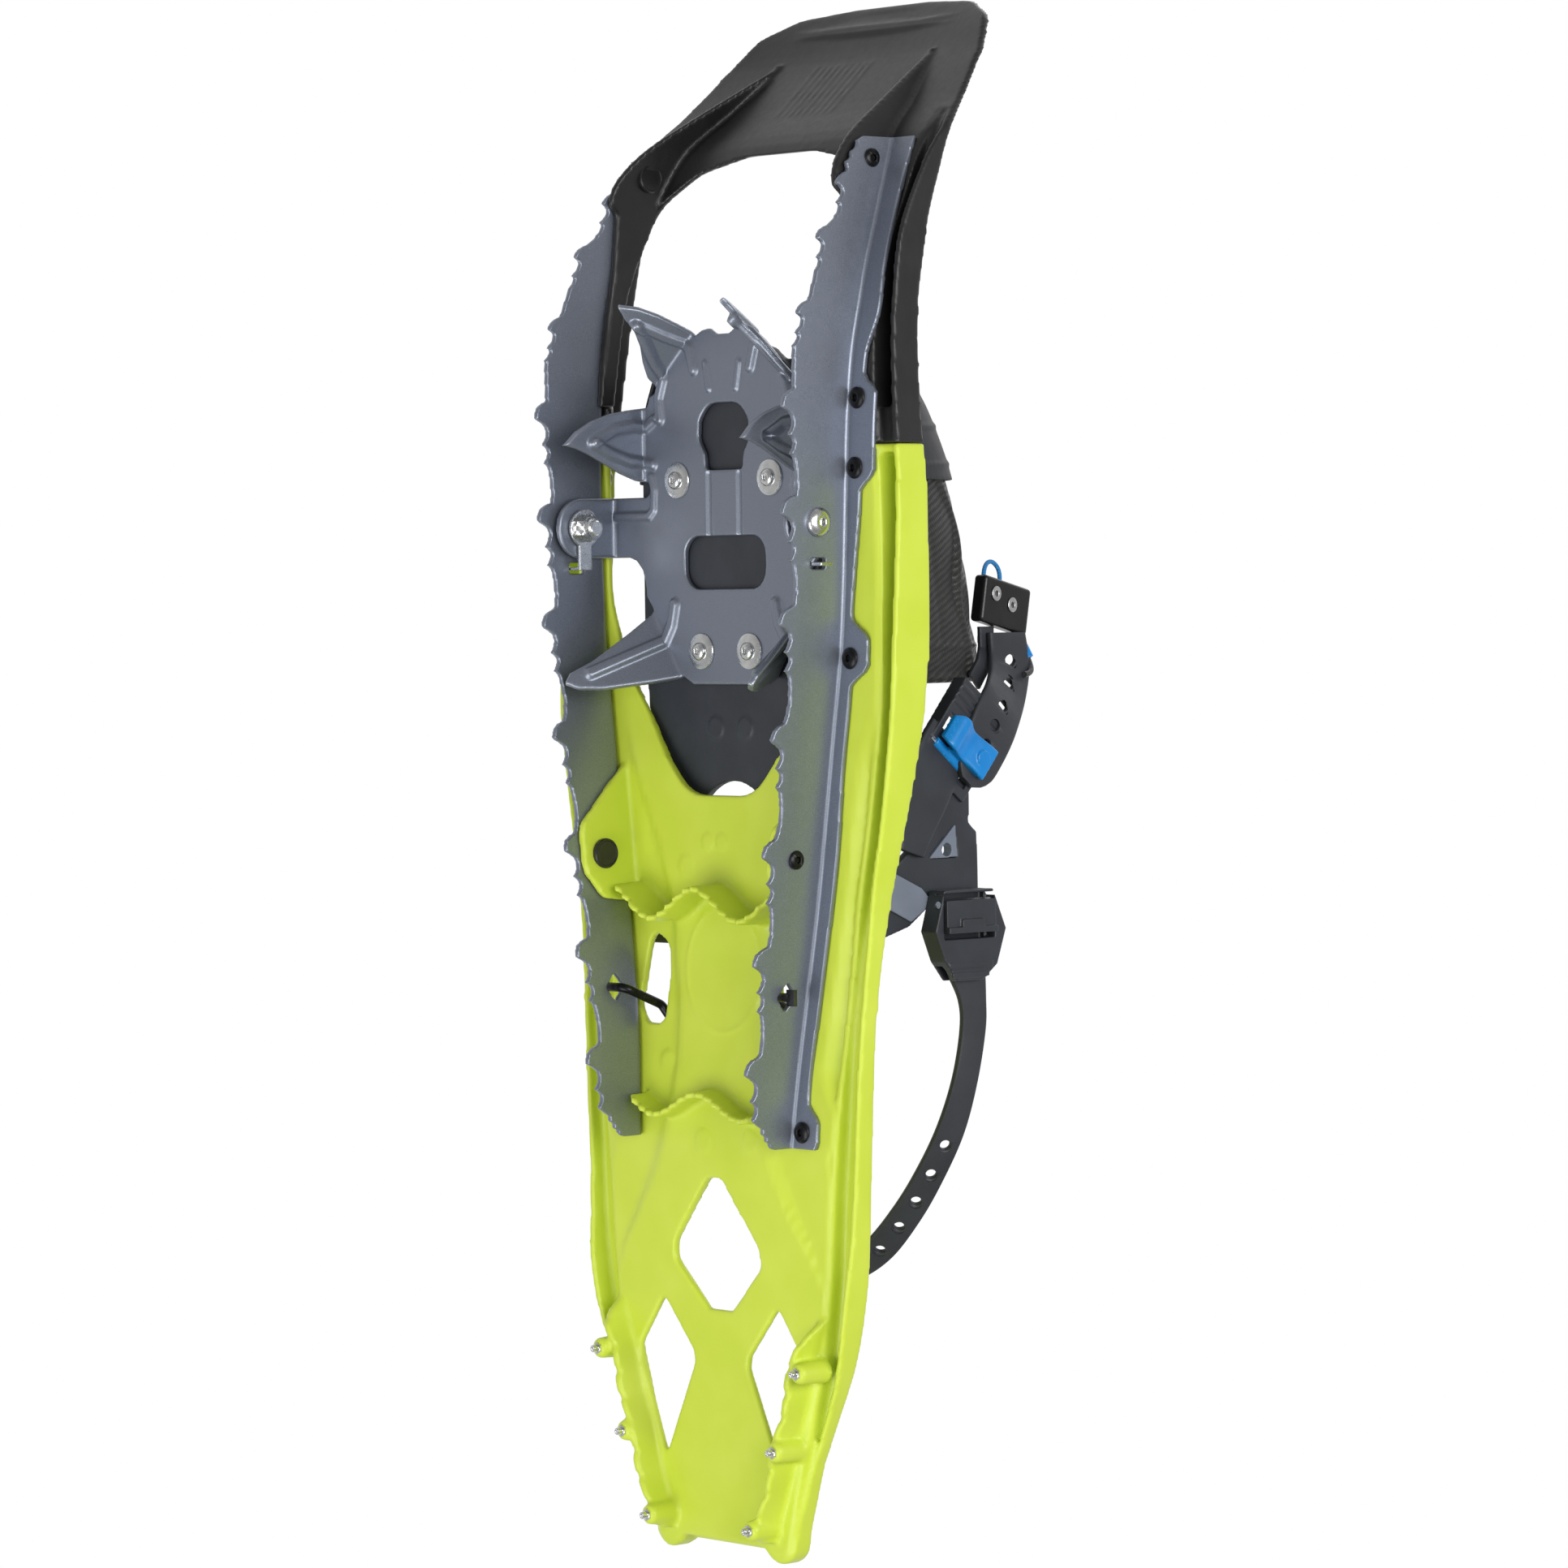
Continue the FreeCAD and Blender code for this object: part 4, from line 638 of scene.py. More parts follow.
def make_light():
    """A white backdrop behind the shoe that falls off to grey round the sides, and soft boxes."""
    world = bpy.data.worlds.new("studio")
    world.use_nodes = True
    nodes, links = world.node_tree.nodes, world.node_tree.links
    along = nodes.new("ShaderNodeVectorMath")
    along.operation = "DOT_PRODUCT"
    along.inputs[1].default_value = FORWARD
    links.new(nodes.new("ShaderNodeTexCoord").outputs["Generated"], along.inputs[0])
    level_of_white = nodes.new("ShaderNodeMapRange")
    for socket, value in {"From Min": -0.3, "From Max": 0.92, "To Min": 0.30, "To Max": 1.0}.items():
        level_of_white.inputs[socket].default_value = value
    links.new(along.outputs["Value"], level_of_white.inputs["Value"])
    links.new(level_of_white.outputs["Result"], nodes["Background"].inputs["Color"])
    scene.world = world
    scene.view_settings.view_transform = "Standard"
    for name, values in SOFTBOXES.items():
        area_light(name, *values)


def make_floor():
    """Pale floor, seen from above only, so that the view from below isn't shut off."""
    data = bpy.data.meshes.new("floor")
    data.from_pydata([(-4, -4, 0), (4, -4, 0), (4, 4, 0), (-4, 4, 0)], [], [(0, 1, 2, 3)])
    floor = bpy.data.objects.new("floor", data)
    scene.collection.objects.link(floor)
    surface = bpy.data.materials.new("floor_paper")
    surface.use_nodes = True
    nodes, links = surface.node_tree.nodes, surface.node_tree.links
    paper = nodes["Principled BSDF"]
    paper.inputs["Base Color"].default_value = (0.86, 0.86, 0.86, 1)
    paper.inputs["Roughness"].default_value = 0.8
    clear = nodes.new("ShaderNodeBsdfTransparent")
    either = nodes.new("ShaderNodeMixShader")
    links.new(nodes.new("ShaderNodeNewGeometry").outputs["Backfacing"], either.inputs[0])
    links.new(paper.outputs[0], either.inputs[1])
    links.new(clear.outputs[0], either.inputs[2])
    links.new(either.outputs[0], nodes["Material Output"].inputs["Surface"])
    data.materials.append(surface)
    for ray in ("diffuse", "glossy", "transmission", "volume_scatter", "shadow"):
        setattr(floor, "visible_" + ray, False)


# Cords: smooth splines; the lace and the pull loop end in the shortened lace block
BLOCK_LOW, BLOCK_SHARE = 135.0, 0.82
LACE = [(-0.0400, 0.0802, 0.1383), (-0.0396, 0.0842, 0.1391), (-0.0390, 0.0862, 0.1438),
        (-0.0396, 0.0820, 0.1479), (-0.0400, 0.0780, 0.1472)]
PULL = [(-0.0400, 0.0550, 0.1565), (-0.0410, 0.0526, 0.1575), (-0.0450, 0.0446, 0.1588),
        (-0.0490, 0.0404, 0.1558), (-0.0496, 0.0400, 0.1512)]


def held_cord(name, route, radius, node):
    """Short cord held at both ends: a smooth line with the route's points as its control points."""
    data = bpy.data.curves.new(name, "CURVE")
    data.dimensions = "3D"
    data.bevel_depth = radius
    data.bevel_resolution = 6
    data.resolution_u = 16
    data.use_fill_caps = True
    path = data.splines.new("NURBS")
    path.points.add(len(route) - 1)
    for point, place in zip(path.points, route):
        point.co = (*place, 1)
    path.order_u = 3
    path.use_endpoint_u = True
    cord = bpy.data.objects.new(name, data)
    scene.collection.objects.link(cord)
    stand_for(cord, node)


def make_cords():
    held_cord("lace_loop", LACE, 0.0009, "lace")
    held_cord("pull_loop", PULL, 0.0012, "pull_cord")


# Lines that the deck and the rails share: (along, height) or (along, half width)
HALF_LENGTH = CAD_BOX[1].y / MM
FLANGE_Z = line((-142, 24.8), (-90, 28.5), (-50, 30.2), (0, 31), (60, 32), (130, 33), (161, 35.2),
                (193, 42.2), (224, 54), (252, 66.2))
FLOOR_Z = line((-307, 26.8), (-142, 27.1), (-90, 30.8), (-50, 32.5), (0, 33.3), (60, 34.3), (130, 35.3),
               (161, 37.5), (193, 44.5), (224, 56.3), (250, 68), (268, 88), (288, 110), (307, 129),
               (311, 133))
RIM_TOP_Z = line((-307, 36.5), (-105, 36.5), (-73, 38), (-45, 41.3), (-20, 44), (5, 47), (33, 50),
                 (60, 52), (130, 52.5), (151, 53.5), (184, 56.5), (201, 59.5), (218, 63.5), (237, 70),
                 (252, 76), (268, 91.4), (288, 113.4), (307, 132.4), (311, 136))
RIM_LOW_Z = line((-307, 28.0), (-290, 28.8), (-262, 30.6), (-240, 29.2), (-215, 25.8), (-200, 25),
                 (-165, 27.4), (-110, 28.5), (-50, 31), (30, 32), (77, 34.5), (100, 36), (130, 38),
                 (207, 47), (240, 62), (256, 74.7), (268, 88), (288, 110), (307, 129), (311, 133))
HALF_WIDTH = line((-269, 49.5), (-245, 61), (-225, 70), (-206, 75), (-187, 78), (-150, 80), (-105, 82.5),
                  (-73, 85), (-45, 88), (-20, 92.5), (5, 96.5), (33, 99.5), (75, 100), (113, 99),
                  (132, 97), (151, 94.4), (184, 91.2), (225, 90), (252, 89.5), (266, 84), (277, 79),
                  (288, 75))
RIM_SHARE = line((-307, 0.34), (-269, 0.46), (-240, 0.86), (-215, 1.15), (-180, 1.28), (-120, 1.12),
                 (-60, 1.0), (200, 1.0), (252, 0.8), (288, 0.5), (307, 0.4))
RAIL_X = line((-142, 45), (-112, 47.4), (-28, 59), (17, 65), (62, 70.6), (104, 72.6), (145, 73.5),
              (181, 74), (231, 69.5), (252, 66))
DECK_JOINT = 130.8
TOE_START, TOE_END = DECK_JOINT + 0.2, HALF_LENGTH + 5
DECK_SKIN, RIM_SKIN, RIM_WALL = 3.2, 2.8, 2.4
DECK_VOXEL = 0.95
RIM_WIDTH = 12.5
GRID, FLOOR_GRID = 4.0, 3.0
SHEET = 2.2


def deck_outline(distance=0.0):
    """Plan of the deck, moved inwards; the tail has two lobes with a straight edge between them."""
    side = [(float(HALF_WIDTH(y)), float(y), 0) for y in np.arange(-266, 289, GRID)]
    tail = [(22, -299.5, 2), (25.5, -303.5, 5), (33, -307.5, 8), (41, -303, 8), (43, -292, 10)]
    half = tail + side + [(67, 301, 12), (50, 308.4, 18), (22, 310.6, 40)]
    outline = rounded(mirror_half(half))
    return inset(outline, distance) if distance else outline


def inner_outline(extra=0.0):
    """Plan inside the hollow rim, whose width tapers towards the tail and the toe."""
    def inner(y):
        return float(HALF_WIDTH(y)) - RIM_WIDTH * float(RIM_SHARE(y)) - extra
    side = [(inner(y), float(y), 0) for y in np.arange(-266, 289, GRID)]
    tail = [(24, -300.5, 2), (30, -303.5 + extra, 6), (38, -301.5 + extra, 7)]
    return rounded(mirror_half(tail + side + [(60 - extra, 300 - extra, 12)]))


FOOT_OPENING = rounded(mirror_half([
    (20, -5.6, 26), (33.5, 10, 40), (60, 45, 40), (70.5, 72, 40), (71.2, 100, 0), (71.6, 145, 0),
    (72.5, 175, 0), (73, 205, 30), (66, 230, 18), (46, 243, 22), (20, 248.5, 40)]))
CENTRE_DIAMOND = rounded(mirror_half([(6.8, -209, 1.5), (25.5, -190.5, 6), (25.5, -183.5, 8), (8, -161, 5),
                                      (4, -156.5, 4)]))
SIDE_DIAMOND = rounded([(34, -205.5, 2), (16.3, -226.5, 4), (16, -231.5, 4), (32.5, -267, 2), (35, -267.5, 2),
                        (48, -233, 5), (48.8, -226, 5)])
LIFT_SLOT = rounded([(43.5, -59.5, 4), (33, -65, 7), (32.5, -80, 8), (35.5, -97.5, 5), (47, -97, 4),
                     (50.5, -90, 4), (46.5, -72, 8)])


def both(outline):
    return [outline, [(-x, y) for x, y in reversed(outline)]]


PANEL_EDGE = line((-205, 64), (-185, 54.6), (-171, 44.4), (-153, 32.2), (-137, 26.4), (-120, 22.5),
                  (-108, 21.3), (-85, 21.9), (-69, 24.5), (-53, 25.5), (-45, 28), (-22, 37), (4, 49),
                  (30, 58))
PANEL_SLOPE = line((-205, 1.5), (-180, 3), (-168, 6), (-152, 9.5), (-137, 9), (-120, 7), (30, 7))
OUTER_EDGE = line((-232, 60), (-204, 72), (-188, 71.3), (-168, 68), (-157, 65), (-146, 62.5), (-140, 66),
                  (-134, 69), (-127, 66.5), (-120, 61), (-112, 58.5), (-100, 60), (-75, 64), (-40, 70),
                  (0, 75), (25, 81), (40, 88))
PANEL_PROUD, STRIP_FALL = 2.4, 4.6


def tail_relief(x, y):
    """The middle of the tail deck stands proud, and its outer strips fall away into the rim."""
    proud = 1 - smoothstep(np.abs(x) - PANEL_EDGE(y), 0, PANEL_SLOPE(y))
    middle = -PANEL_PROUD * proud * smoothstep(y, -212, -165) * (1 - smoothstep(y, 5, 30))
    outer = STRIP_FALL * smoothstep(np.abs(x) - OUTER_EDGE(y), 0, 10) * smoothstep(y, -232, -205)
    return middle + outer * (1 - smoothstep(y, -30, 40))


def rim_end(start, end):
    """Solid end of the hollow rim beside the joint between the two decks."""
    ys = np.linspace(start, end, 4)
    plan = [(float(HALF_WIDTH(y)) - 1, float(y)) for y in ys]
    plan += [(float(HALF_WIDTH(y)) - RIM_WIDTH - 2, float(y)) for y in ys[::-1]]
    solid = slab(plan, following(RIM_LOW_Z, 0.5), following(RIM_TOP_Z, -1))
    return [solid, flipped(solid)]


def deck_shell(start, end, holes, relief):
    """Floor, rim skin, outer wall and inner wall of one deck moulding."""
    outer, inner = deck_outline(), inner_outline()
    clip = (start, end)

    def floor_low(x, y):
        return FLOOR_Z(y) + relief(x, y)

    def floor_high(x, y):
        return FLOOR_Z(y) + relief(x, y) * 0.7 + DECK_SKIN
    return [
        slab(inner_outline(-0.6), floor_low, floor_high, [FOOT_OPENING] + holes, GRID, clip, FLOOR_GRID),
        slab(outer, following(RIM_TOP_Z, -RIM_SKIN), following(RIM_TOP_Z), [inner], GRID, clip),
        slab(outer, following(RIM_LOW_Z), following(RIM_TOP_Z, -0.4), [deck_outline(RIM_WALL)], GRID, clip),
        slab(inner_outline(-3.0), following(FLOOR_Z, 0.7), following(RIM_TOP_Z, -0.1), [inner], GRID, clip),
    ]


BLADE_SCREWS = [(242.0, 53.0), (-29.0, 16.5)]
FLANGE_SCREWS = [(79.5, 148.6), (79.0, 121.7), (76.0, 48.5), (52.0, -135.5)]
STUDS = [(59.3, -227.9), (45.0, -259.8), (30.4, -292.0)]


def gusset():
    """Wall inside the blade that takes the blade screw behind the foot opening."""
    face = rounded([(8, 35, 0), (-3, 22, 14), (-18, 6.5, 8), (-36, 6.5, 8), (-47, 15, 5), (-49, 35, 0)])
    return turned(slab(face, lambda y, z: RAIL_X(y) - 4.6, lambda y, z: RAIL_X(y) - 1.4, step=3.0), ACROSS)


def wavy_rib(along, reach, tip, amplitude, teeth):
    """Corrugated traction wall: a wave in plan and a row of small steps along its edge."""
    xs = np.linspace(-reach, reach, int(reach * 2 / 1.2))
    wave = -amplitude * np.cos(2 * math.pi * np.abs(xs) / 52 + math.pi)
    plan = np.column_stack([xs, along + wave])
    steps = np.where(np.sin(2 * math.pi * np.arange(len(xs)) / len(xs) * teeth) > 0, 0.0, 1.5)
    rise = 6.0 * smoothstep(np.abs(xs), reach - 16, reach)
    root = float(FLOOR_Z(along)) + 1.5
    rings = []
    for (x, y), step, lift in zip(plan, steps, rise):
        low = tip + step + lift * 0.3
        rings.append([(x, y - 1.25, low), (x, y + 1.25, low), (x, y + 1.7, root), (x, y - 1.7, root)])
    return loft(rings)


def tail_rib():
    """Scalloped wall towards the tail with three bosses for the steel studs."""
    start, end = np.array([60.5, -206.0]), np.array([30.0, -298.0])
    rings = []
    count = 90
    for share in np.arange(count + 1) / count:
        x, y = start + (end - start) * share
        scallop = 1.5 * abs(math.sin(share * math.pi * 9)) ** 0.7
        rise = 11.5 * float(1 - smoothstep(share, 0.0, 0.14)) + 5.0 * float(smoothstep(share, 0.97, 1.0))
        low = 15.4 + 1.5 - scallop + rise
        sway = 1.1 * math.sin(share * math.pi * 6)
        rings.append([(x + sway - 1.6, y, low), (x + sway + 1.6, y, low), (x + 3.0, y, 29), (x - 3.0, y, 29)])
    boss = [(0, 13.6, 0), (3.3, 13.6, 0), (4.1, 15.0, 0), (4.9, 29.0, 0), (0, 29.0, 0)]
    return [loft(rings)] + [lathe(boss, (x, y, 0), (0, 0, 1)) for x, y in STUDS]


def raised_ring(x, y, z, radius, width=1.2, height=0.5):
    """Round moulding mark on the underside of a deck."""
    inside, top = radius - width, 1.2
    return lathe([(inside, -height, 0), (radius, -height, 0), (radius, top, 0), (inside, top, 0),
                  (inside, -height, 0)], (x, y, z), (0, 0, 1), 36)


def make_tail_deck():
    holes = [CENTRE_DIAMOND] + both(SIDE_DIAMOND) + both(LIFT_SLOT)
    solids = deck_shell(-HALF_LENGTH - 1, DECK_JOINT, holes, tail_relief)
    solids += [wavy_rib(-48, 50, 14.2, 6.0, 19), wavy_rib(-127.5, 42, 14.4, 4.5, 17)]
    rib = tail_rib() + [gusset()]
    solids += rib + [flipped(solid) for solid in rib]
    solids += rim_end(127.5, DECK_JOINT)
    for x in (-1.2, 7.2):
        solids.append(raised_ring(x, -24.0, float(FLOOR_Z(-24)) - 2.4, 3.0, 3.0, 0.6))
    for x, y in [(31, -112), (6, -142), (-22, -141), (20, -34)]:
        solids.append(raised_ring(x, y, float(FLOOR_Z(y) + tail_relief(x, y)), 4.2, 1.0, 0.5))
    oval = [(-3 + 22 * math.cos(a), -74 + 25 * math.sin(a)) for a in np.linspace(0, 2 * math.pi, 60)]
    solids.append(pipe([(x, y, float(FLOOR_Z(y) + tail_relief(x, y)) + 0.2) for x, y in oval], 0.8, 8))
    deck = mesh_object("tail_deck_shell", solids)
    stand_for(moulded(deck, DECK_VOXEL, 3, 0.45), "tail_deck")


def toe_fin():
    """Wall from the inner side of the rail up into the kicked-up toe panel."""
    low = line((150, 31), (158, 31.7), (184, 35.6), (210, 38.7), (226, 38.5), (232, 34.5), (238, 36),
               (244, 40), (250, 46), (256, 54), (264, 67), (288, 109))
    high = line((150, 38), (193, 46), (224, 58), (250, 70), (268, 90), (288, 112))
    middle = line((150, 73.5), (181, 74), (231, 69.5), (252, 64), (288, 48))
    rings = []
    for y in np.linspace(150, 289, 120):
        x = float(middle(y)) - 1.4
        rings.append([(x - 2.9, y, float(low(y))), (x, y, float(low(y))), (x, y, float(high(y))),
                      (x - 3.6, y, float(high(y)))])
    return loft(rings)


CORNER_SAG, FRONT_SAG = 5.5, 3.0


def make_toe_deck():
    """Black toe moulding: shell, two fins and fine stripes on a panel that is lower at its front edge."""
    solids = deck_shell(TOE_START, TOE_END, [], lambda x, y: 0 * y)
    solids.append(slab(deck_outline(0.8), following(FLOOR_Z), following(FLOOR_Z, 2.6), step=GRID,
                       clip=(261.5, TOE_END), across=FLOOR_GRID))
    fin = toe_fin()
    solids += [fin, flipped(fin)] + rim_end(TOE_START, 145)
    for x in np.arange(9) * 4.0 - 11:
        section = [(x - 0.5, -0.35), (x + 0.5, -0.35), (x + 0.9, 1), (x - 0.9, 1)]
        solids.append(loft([[(across, y, FLOOR_Z(y) + rise) for across, rise in section]
                            for y in np.linspace(265, 286, 8)]))
    deck = mesh_object("toe_deck_shell", solids)
    points = points_of(deck)
    x, y = points[:, 0], points[:, 1]
    points[:, 2] -= CORNER_SAG * smoothstep(y, 262, 306) * (np.abs(x) / 72) ** 2
    points[:, 2] -= FRONT_SAG * smoothstep(y, 286, 310)
    stand_for(moulded(set_points(deck, points), DECK_VOXEL, 3, 0.5), "toe_deck")


# Traction rails: a toothed blank, bent along its length
BIG_TEETH = [-112.1, -69.6, -27.6, 17.1, 61.8, 104.2, 145.0]
RISING_TEETH = [(181.0, 8.0), (210.0, 20.5), (231.5, 33.5)]
TOOTH = [(-34.5, 7.0), (-30.0, 7.7), (-24.0, 7.3), (-19.6, 6.4), (-18.4, 5.2), (-17.9, 4.3), (-17.0, 4.9),
         (-15.4, 6.0), (-13.4, 6.4), (-12.0, 5.8), (-11.0, 4.5), (-10.6, 3.4), (-9.6, 4.2), (-7.6, 5.5),
         (-5.2, 5.9), (-3.3, 5.2), (-1.8, 3.3), (-0.7, 1.0), (0.1, 0.0), (2.0, 0.2), (4.2, 1.2),
         (6.0, 3.4), (7.0, 6.0)]
BEND_RADIUS = 2.6
BEND_LENGTH = BEND_RADIUS * math.pi / 2


def rail_edge():
    """Side outline of a blade's lower edge from back to front, as (along, height)."""
    edge = [(-142.0, 16.5), (-141.2, 14.2), (-139.4, 13.9), (-138.6, 12.0), (-136.6, 11.9), (-135.6, 9.9),
            (-133.4, 9.9), (-132.4, 7.9)]
    for number, middle in enumerate(BIG_TEETH):
        profile = TOOTH if number else TOOTH[4:]
        edge += [(middle + dy, dz) for dy, dz in profile]
    size, slope = 0.72, 0.42
    for middle, tip in RISING_TEETH:
        profile = [(dy * size, dz * size + tip + slope * dy * size) for dy, dz in TOOTH[4:]]
        edge += [(middle + dy, z) for dy, z in profile if middle + dy > edge[-1][0] + 0.4]
    edge += [(240.0, 39.6), (241.6, 42.6), (244.0, 43.2), (246.0, 46.4), (248.6, 47.2), (250.5, 51.0)]
    return edge


FLANGE_EDGE = line((-142, 54), (-116, 54.5), (-90, 58), (-58, 63), (-27, 68), (5, 71), (36, 75), (64, 76),
                   (83, 78), (111, 81), (164, 82), (182, 86), (200, 84), (228, 81), (250, 79))


def flange_edge(y):
    """Outer edge of the flange, with an ear at each of its screws."""
    ear = 7.4 * smoothstep(-np.abs(y - 135.2), -23, -15)
    ear = ear + 9.8 * smoothstep(-np.abs(y - 50.5), -14, -5)
    ear = ear + 6.2 * smoothstep(-np.abs(y + 136), -12, -4)
    return FLANGE_EDGE(y) + ear


def rail_blank():
    """Flat blank: along the shoe, and across from the start of the bend."""
    bend_start = following(FLANGE_Z, SHEET / 2 - BEND_RADIUS)
    lower = [(y, z - float(bend_start(0, y))) for y, z in rail_edge()]
    upper = [(float(y), float(flange_edge(y) - RAIL_X(y)) - BEND_RADIUS + BEND_LENGTH)
             for y in np.arange(250.5, -142.2, -2.5)]
    wire_hole = rounded([(-88.5, -9.6, 1), (-82.5, -14.2, 1), (-76.5, -9.6, 1), (-82.5, -5.0, 1)])
    tab_slot = rounded([(83.0, -16.2, 1), (87.2, -16.2, 1), (87.2, -8.4, 1), (83.0, -8.4, 1)])
    return plate(lower + upper, -SHEET / 2, SHEET / 2, [wire_hole, tab_slot])


def bend_rail(points):
    """Bend the flat blank into the right-hand rail."""
    along, across, lift = points.T
    middle = FLANGE_Z(along) + SHEET / 2
    angle = np.clip(across / BEND_RADIUS, 0, math.pi / 2)
    web = np.minimum(across, 0)
    flange = np.maximum(across - BEND_LENGTH, 0)
    x = RAIL_X(along) + BEND_RADIUS * (1 - np.cos(angle)) + flange + lift * np.cos(angle)
    z = middle - BEND_RADIUS + web + BEND_RADIUS * np.sin(angle) - lift * np.sin(angle)
    return np.column_stack([x, along, z])


def make_rails():
    right = moulded(mesh_object("right_rail_plate", [rail_blank()]), 0.55, 2)
    set_points(right, bend_rail(points_of(right)))
    thinned(right, 0.4).data.flip_normals()
    left = twin(right, "left_rail_plate")
    stand_for(right, "right_rail")
    stand_for(left, "left_rail")


# Crampon: one flat blank with pressed beads, folded at its claws and ears
PLATE_LOW = 35.0
METAL = 2.6
PLATE_MIDDLE = PLATE_LOW + METAL / 2
FOLD_RADIUS = 3.2


class Fold:
    """A straight fold from one end to the other; what lies beyond it turns down."""

    def __init__(self, start, end, degrees, outline, outward):
        self.start = np.array(start, float)
        run = np.array(end, float) - self.start
        self.length = float(np.linalg.norm(run))
        self.run = run / self.length
        self.out = np.array([self.run[1], -self.run[0]])
        if self.out @ np.array(outward) < 0:
            self.out = -self.out
        self.angle = math.radians(degrees)
        self.outline = outline

    def flat(self):
        """The outline of what is folded, laid flat beside the plate."""
        return [tuple(self.start + self.run * s + self.out * t) for s, t in self.outline]

    def apply(self, points, moved):
        """Turn the flat points that lie beyond the fold; moved marks them."""
        plan = points[:, :2] - self.start
        s, t = plan @ self.run, plan @ self.out
        here = (t > 0) & (s > -9) & (s < self.length + 4.5) & (t < 60) & ~moved
        angle = np.clip(t / FOLD_RADIUS, 0, self.angle)
        rest = np.maximum(t - FOLD_RADIUS * self.angle, 0)
        lift = points[:, 2] - PLATE_MIDDLE
        out = FOLD_RADIUS * np.sin(angle) + rest * math.cos(self.angle) + lift * np.sin(angle)
        drop = FOLD_RADIUS * (1 - np.cos(angle)) + rest * math.sin(self.angle) - lift * np.cos(angle)
        plan = self.start + np.outer(s, self.run) + np.outer(out, self.out)
        folded = np.column_stack([plan, PLATE_MIDDLE - drop])
        points[here] = folded[here]
        return moved | here


CLAWS = [
    Fold((17, 176), (40, 155.5), 60,
         [(0, -3), (0, 0), (-0.8, 8), (-1.4, 18), (-0.6, 27), (2.1, 34.6), (6.5, 29), (9.5, 23), (15, 17.5),
          (22, 12.5), (28, 7), (30.8, 0), (30.8, -3)], (1, 1)),
    Fold((46, 149), (46, 119), 84,
         [(0, -3), (0, 0), (1.0, 9), (2.6, 19), (5.6, 28), (9.6, 35), (15.2, 41.0), (16.6, 35), (19.0, 29),
          (22.5, 22), (26.5, 14), (29.5, 6), (30, 0), (30, -3)], (1, 0)),
    Fold((43.5, 68), (26, 41.5), 57.6,
         [(0, -3), (0, 0), (6, 15), (12.3, 33), (14.2, 43), (17.6, 46.5), (22, 42), (25.5, 33), (29.6, 13),
          (31.8, 0), (31.8, -3)], (1, -1)),
]
EAR = Fold((64.6, 89), (64.6, 113), 90, [], (1, 0))
EAR_RADIUS = 12
PIVOT_Y, PIVOT_Z = 101.0, 18.0
EAR_REACH = PLATE_MIDDLE - PIVOT_Z - FOLD_RADIUS + FOLD_RADIUS * math.pi / 2
RIGHT_BEADS = [
    ([(37.4, 190.0), (28.1, 179.5), (19.4, 171.2), (16.8, 163)], 3.0, 1.6),
    ([(37.4, 190.0), (37.3, 168.7), (35.7, 159.4), (38.5, 152), (37.5, 144)], 3.0, 1.6),
    ([(73.5, 134.6), (63, 140), (54, 141.5), (46, 141), (41, 144)], 2.8, 1.5),
    ([(73.5, 134.6), (65, 130.5), (56, 127.5), (46, 126.5), (42, 126)], 2.8, 1.5),
    ([(66, 105.5), (45, 105.5), (42.2, 108), (41.8, 116), (43, 121)], 2.4, 1.2),
    ([(63.5, 34.0), (43.5, 50), (36, 56), (32, 62), (30, 70)], 3.4, 1.8),
    ([(10, 165), (8, 155)], 1.9, 0.9),
    ([(9, 121.5), (9, 98)], 1.8, -1.0),
]


def crampon_outline():
    """Right half of the blank, from the rear middle to the front middle."""
    front, side, rear = (claw.flat() for claw in CLAWS)
    ear = [(64.6 + EAR_REACH + EAR_RADIUS * math.cos(angle), PIVOT_Y + EAR_RADIUS * math.sin(angle))
           for angle in -math.pi / 2 + math.pi * np.arange(19) / 18]
    half = [(9, 38.2), (20, 38.2)] + rear[::-1][1:-1] + [(47.5, 73), (48.2, 79), (50, 84), (53.5, 87.6)]
    half += [(58, 89)] + ear + [(47.5, 113), (45, 114.4), (44.6, 117)]
    half += side[::-1][1:-1] + [(44.5, 153)] + front[::-1][1:-1] + [(12, 178.5), (8, 179), (4, 176.6)]
    return half


def along_bead(plan, path):
    """Distance of flat points from a bead's middle line."""
    nearest = np.full(len(plan), 1e9)
    for a, b in zip(path, path[1:]):
        a, b = np.array(a, float), np.array(b, float)
        share = np.clip((plan - a) @ (b - a) / ((b - a) @ (b - a)), 0, 1)
        nearest = np.minimum(nearest, np.linalg.norm(plan - a - np.outer(share, b - a), axis=1))
    return nearest


def press_beads(points):
    """Pressed beads, towards the ground on the plate."""
    plan = np.abs(points[:, :2] * (1, 0)) + points[:, :2] * (0, 1)
    for path, width, height in RIGHT_BEADS:
        points[:, 2] -= height * (1 - smoothstep(along_bead(plan, path), width * 0.35, width))
    return points


